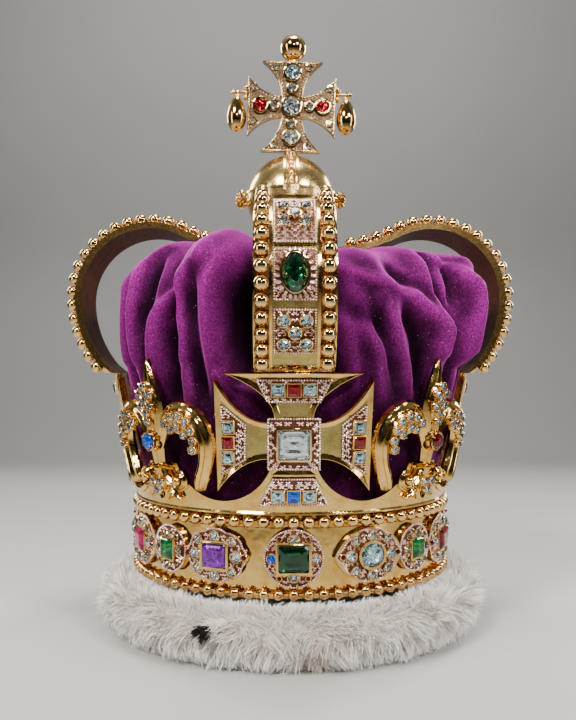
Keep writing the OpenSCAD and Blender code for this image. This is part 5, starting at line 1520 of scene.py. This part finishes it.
def stones_round(kind, hl, hw):
    """The stones round a jewel of half length hl and half width hw, as (x, y, width, height)."""
    if kind == "disc":
        beside, over, corner = (hl + 2.9, 5.2, 5.2), (hw + 2.6, 6.4, 4.4), (7.2, 10.2, 2.6)
    elif kind == "small":
        beside, over, corner = (hl + 2.7, 4.4, 4.4), (hw + 2.4, 4.6, 4.2), (6.6, 6.9, 2.8)
    else:
        places = []
        for j in range(8):
            a = j * math.pi / 4
            c, s = math.cos(a), math.sin(a)
            d = (6.4, 4.9, 5.6, 4.9)[j % 4]
            x, y = (12.0 * c, 10.3 * s) if j % 2 == 0 else (math.copysign(9.568, c), math.copysign(7.9, s))
            places.append((x, y, d, d))
        return places + [(16.3, 0, 3.0, 3.0), (-16.3, 0, 3.0, 3.0)]
    places = [(s * beside[0], 0, *beside[1:]) for s in (1, -1)]
    places += [(0, s * over[0], *over[1:]) for s in (1, -1)]
    x, y, d = corner
    return places + [(s * x, v * y, d, d) for v in (1, -1) for s in (1, -1)]


for k, (kind, cut, gem_name) in enumerate(band_jewels):
    length, width = jewel_size(k)
    hl, hw = length / 2, width / 2
    at = jewel_turn(k)
    collet("band", (0, JEWEL_Z, SETTING_T), length, width, -0.1, 1.75, at, square=cut == "step", wall=0.5,
           claws=0 if kind == "disc" else 4)
    ring_stones = stones_round(kind, hl, hw)
    for j, (x, y, w, h) in enumerate(ring_stones):
        small = max(w, h) < 3.4
        colour = "garnet" if small and kind != "small" else ("blue" if (k, j) == (0, 1) else "clear")
        set_stone("band_small_gems", colour, "round", "band", (x, JEWEL_Z + y, SETTING_T + 0.95), w, h,
                  1.4 + 0.12 * w, 0.75, at)
        collet("band", (x, JEWEL_Z + y, SETTING_T), w, h, -0.1, 1.25, at, wall=0.4, claws=0 if small else 4)
    holes = [(0, 0, hl + 0.9, hw + 0.9)]
    holes += [(x, y, w / 2 + 0.2, h / 2 + 0.2) for x, y, w, h in ring_stones if x >= -0.1]
    filigree("band", at, (0, JEWEL_Z), lobes(kind), holes, SETTING_T + 0.1, 1.95, 0.85, edge=1.3, edge_r=0.6)
print("band settings chased")

# %% [markdown]
# The top cross is flatter and redder than the crosses below. Its main stones stand in tall round collets and
# a small one sits in the corner of each arm. The orb has a cluster of clear stones at either side.

# %% The top cross
TOP_PROUD, TOP_BACK = 2.5, 28.5
pin_z, drop_x = top_cross_z + 9, 35.5
PIN_OUT = drop_x + 2.6


def top_ring(d):
    """The top cross's outline, drawn d inside its edge with the same number of points."""
    waist, tip = (7.0 - d, 7.0 - d), 19.6 - 2.1 * d
    quarter = swapped(flare_curve(waist, (tip, TOP_BACK - d)))[::-1]
    quarter += flare_curve(waist, (tip, TOP_CROSS_HALF - d))[1:]
    return both_sides([(x, -y) for x, y in quarter[::-1]] + quarter)


# inset and proud of each ring of the plate, from its middle line to the field
top_levels = [(0.0, -0.1), (0.0, 1.6), (0.25, 2.9), (0.55, 3.25), (1.35, 3.2), (1.8, 2.5)]
ring_n, arm_n = len(top_ring(0.0)), FLARE_STEPS
plate, plate_faces = joined_rings(
    [np.column_stack([top_ring(d), np.full(ring_n, proud)]) for d, proud in top_levels], caps=False)
# the field is flat: strips across the lower and upper arm, one across the waist, strips up the two side arms
last, side_end = ring_n - 1, 3 * arm_n + 1
field_faces = [(last - k, k, k + 1, last - 1 - k)
               for k in (*range(arm_n), *range(side_end, side_end + arm_n))]
field_faces.append((last - arm_n, arm_n, side_end, last - side_end))
for j in range(arm_n):
    right_low, right_high = arm_n + j, side_end - j
    left_low, left_high = last - right_low, last - right_high
    field_faces += [(right_low, right_low + 1, right_high - 1, right_high),
                    (left_low, left_high, left_high + 1, left_low - 1)]
plate_paint = [0] * len(plate_faces) + [1] * len(field_faces)
inner_ring = ring_n * (len(top_levels) - 1)
plate_faces = list(plate_faces) + [tuple(i + inner_ring for i in f) for f in field_faces]
top_plate = Heap()
for side in (1, -1):
    laid = np.stack([plate[:, 0], -side * plate[:, 2], plate[:, 1] + top_cross_z], 1)
    top_plate.add(finial(laid), [tuple(f)[::side] for f in plate_faces], plate_paint)
for s in (-1, 1):
    rod = finial(np.array([(s * x, 0, pin_z) for x in (27.5, 31.0, PIN_OUT)]))
    top_plate.add(*tube(rod, 1.05, 12), 2)
    for x, z, r in ((PIN_OUT, 0.0, 1.55), (29.6, 3.0, 2.0), (29.6, -3.0, 2.0), (29.6, 0.0, 1.6)):
        top_plate.add(*ball(finial(np.array([(s * x, 0, pin_z + z)]))[0], r, 14, 9), 2)
print("top cross outline has", ring_n, "points")

# %% Stones of the top cross and orb
top_stones = [(0, 0, 12.4, "clear"), (-20.2, 0, 8.8, "red"), (20.2, 0, 8.8, "red"), (0, 21.8, 10.2, "aqua"),
              (0, -20.4, 10.0, "clear"), (-11.6, 0, 5.6, "clear"), (11.6, 0, 5.6, "clear"),
              (0, 11.8, 5.8, "clear"), (0, -11.4, 5.8, "clear")]
corner_stones = [(10.3, 25.6), (24.6, 12.0), (24.6, -10.4), (10.6, -25.6)]
for x, y, d, gem_name in top_stones:
    z = top_cross_z + y
    set_stone("top_gems", gem_name, "round", "top", (x, z, TOP_PROUD + 1.3), d, d, 1.6 + 0.16 * d, 0.9)
    collet("top", (x, z, TOP_PROUD), d, d, 0.2, 2.5, wall=0.85)
CORNER_D = 3.7
for x, y in corner_stones:
    for x, z in ((-x, top_cross_z + y), (x, top_cross_z + y)):
        set_stone("top_gems", "clear", "round", "top", (x, z, TOP_PROUD + 0.8), CORNER_D, CORNER_D, 1.4, 0.6)
        collet("top", (x, z, TOP_PROUD), CORNER_D, CORNER_D, -0.2, 1.5)

# Each side of the orb has a boss with seven stones, the middle one facing out and six leaning back round it
round_points, round_faces, round_paint = CUTS["round"]
clear_first = 2 * gem_order.index("clear")
orb_gems = stones.setdefault("orb_gems", Heap())
CUP_RINGS = ((-0.6, -4.4), (0.2, -1.2), (0.55, 0.2), (0.35, 0.75), (-0.1, 0.45))
CLAW_STEPS = ((0.6, 0.3), (0.2, 1.1), (-0.6, 1.5))
for s in (-1, 1):
    for j in range(7):
        lean_back = 0.0 if j == 6 else math.radians(52)
        a = 2 * math.pi * (j + 0.25) / 6
        side_lean = math.sin(lean_back)
        n = np.array([math.cos(lean_back), side_lean * math.cos(a), side_lean * math.sin(a)])
        u = np.cross(n, [0.3, 0.2, 1.0])
        u /= np.linalg.norm(u)
        axes = np.stack([u, np.cross(n, u), n])
        middle = np.array([29.5, 0, 0]) + n * 4.6

        def on_boss(local):
            return (local @ axes + middle) * (s, s, 1) + (0, 0, orb_z)

        half = 2.5 if j == 6 else 2.2
        local = round_points * (half, half, 1.0)
        local[:, 2] *= np.where(local[:, 2] > 0, 1.8, 0.7)
        orb_gems.add(on_boss(local), round_faces, [clear_first + p for p in round_paint])
        points, faces = joined_rings([ring_of(16, half + g, 0.0) + (0, 0, h) for g, h in CUP_RINGS])
        extra_gold.add(on_boss(points), faces)
        for c in range(4):
            turn_now = c * math.pi / 2 + 0.8
            way = np.array([math.cos(turn_now), math.sin(turn_now), 0])
            claw = np.array([way * (half + g) + (0, 0, h) for g, h in CLAW_STEPS])
            extra_gold.add(*tube(on_boss(claw), [0.42, 0.42, 0.25], 5, up=CLAW_UP))
print("top stones set")

for side in (1, -1):
    for x, y in spread(top_ring(2.4), 2.1):
        scrolls.add(*ball(finial(np.array([(x, -side * TOP_PROUD, top_cross_z + y)]))[0], 0.4, 6, 4))
top_piece = top_plate.make("orb_cross", [bronze_gold, bronze_field, bead_gold], "gold", sharp=30)
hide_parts("top_cross")

# %% The orb's strips of small beads
strip = Heap()
bead_r = ORB_R + 0.6
rise = np.radians(np.linspace(9, 82, 26))
for side in (1, -1):
    for x in (-3.5, 3.5):
        r = math.sqrt(ORB_R ** 2 - x * x) + 0.35
        path = np.column_stack([np.full(len(rise), x), -side * r * np.cos(rise), orb_z + r * np.sin(rise)])
        strip.add(*tube(path, 1.15, 8, squash=0.8))
    for angle in np.radians(np.arange(13, 80, 8.6)):
        centre = np.array([0, -side * bead_r * math.cos(angle), orb_z + bead_r * math.sin(angle)])
        strip.add(*ball(centre, 2.05, 14, 9))
strip.make("orb_strips", [bead_gold], "gold", sharp=50)

# %% Pear drops
HOOP_R = 2.5
t = 0.5 - 0.5 * np.cos(np.linspace(0, math.pi, 26))
drop_width = 7.0 * np.sin(math.pi * t ** 1.1) ** 0.5 * (0.8 + 0.2 * t) + 1.2 * (1 - t) ** 8
drop_rings = [(1.7, -2.0)] + list(zip(np.maximum(drop_width, 0.15), -3.0 - 23.0 * t))
spin = np.arange(28) * 2 * math.pi / 28
bend = np.arange(24) * math.pi / 12
for s, name in ((-1, "drop_left"), (1, "drop_right")):
    drop = Heap()
    points, faces = joined_rings([
        np.column_stack([s * drop_x + w * np.cos(spin), w * np.sin(spin), np.full(len(spin), pin_z + z)])
        for w, z in drop_rings])
    drop.add(finial(points), faces)
    hoop = np.column_stack([
        np.full(len(bend), s * drop_x), HOOP_R * np.cos(bend), pin_z - 0.7 + HOOP_R * np.sin(bend)])
    drop.add(*tube(finial(hoop), 0.7, 8, up=(1, 0, 0), ring=True))
    piece = drop.make(f"pear_{name}", [bead_gold], "gold", sharp=40)
    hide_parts(name)

# %% Making the stones, collets and chased work
slot_of = {row["node"]: row["material_slot"] for row in frame["record"].get("subparts", [])}
stands_for = {"top_gems": "top_cross_stones"}
for kind in ("band", "cross", "lily", "arch"):
    stands_for[f"{kind}_small_gems"] = f"{kind}_small_stones"
for kind, names in (("band", range(len(band_jewels))), ("cross", QUARTERS),
                    ("arch", QUARTERS), ("lily", CORNERS)):
    for name in names:
        stands_for[f"{kind}_jewel_{name}"] = f"{kind}_stone_{name}"
for name, heap in stones.items():
    used = sorted(set(heap.paint))
    heap.paint = [used.index(p) for p in heap.paint]
    covered = stands_for.get(name)
    piece = heap.make(name, [gem_materials[p] for p in used], slot_of.get(covered, "clear_gem"), flat=True)
    if covered:
        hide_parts(covered)
collets.make("collets", [bead_gold], "gold", sharp=40)
scrolls.make("scrollwork", [rose_scroll], "gold", sharp=60)
# painted shade: the dark sheet behind the scrolls
ground.make("plaque_shade_sheet", [painted_shade_ground], "gold", sharp=60)
extra_gold.make("orb_posts", [bead_gold], "gold", sharp=40)

# %% [markdown]
# The CAD pieces that still show get their finish here. Each has one metal, except the arches: a face of an
# arch is painted by where it lies, so that its panels are satin and its flanks, inside and bead troughs are
# darker.

# %% Finish for the CAD pieces
for name, material in (("circlet", polished_gold), ("orb", orb_gold), ("upper_beads", bead_gold),
                       ("top_ball", bead_gold), ("lower_beads", copper_bead)):
    mesh = nodes[name].data
    mesh.materials.clear()
    mesh.materials.append(material)
    for polygon in mesh.polygons:
        polygon.material_index = 0
print("CAD pieces dressed")

# %% Faces of the arches
# a face counts as lying on the plate's outer or inner side when it is within NEAR mm of it
NEAR = 0.3
for name, turn_now in QUARTERS.items():
    mesh = nodes[f"arch_{name}"].data
    mesh.materials.clear()
    for material in (polished_gold, satin_gold, red_gold, edge_gold):
        mesh.materials.append(material)
    centres = turned(np.array([p.center[:] for p in mesh.polygons]) / MM, -turn_now)
    across, reach, z = centres[:, 0], -centres[:, 1], centres[:, 2]
    flat = np.stack([reach, z], 1)
    from_low = np.linalg.norm(flat - low_centre, axis=1) - ARCH_LOW_R
    from_top = np.linalg.norm(flat - top_centre, axis=1) - ARCH_TOP_R
    from_dip = ARCH_DIP_R - np.linalg.norm(flat - dip_centre, axis=1)
    swing = np.arctan2(z - top_centre[1], reach - top_centre[0])
    off = np.where(z < ARCH_WIDE_Z, from_low, np.where(swing < ARCH_SWEEP, from_top, from_dip))
    wide = np.abs(across)
    on_face = np.abs(off - PLATE_OUT) < NEAR
    inner = off < PLATE_IN + NEAR
    trough = on_face & (wide > 12.6) & (wide < 19.4)
    panel = on_face & (wide < 11.1)
    flank = (wide > ARCH_W / 2 - 0.6) & (off < PLATE_OUT + NEAR)
    paint = np.where(inner | trough, 2, np.where(panel, 1, np.where(flank, 3, 0)))
    mesh.polygons.foreach_set("material_index", paint.astype(int).tolist())
print("arches dressed")

# %% The last line
import json
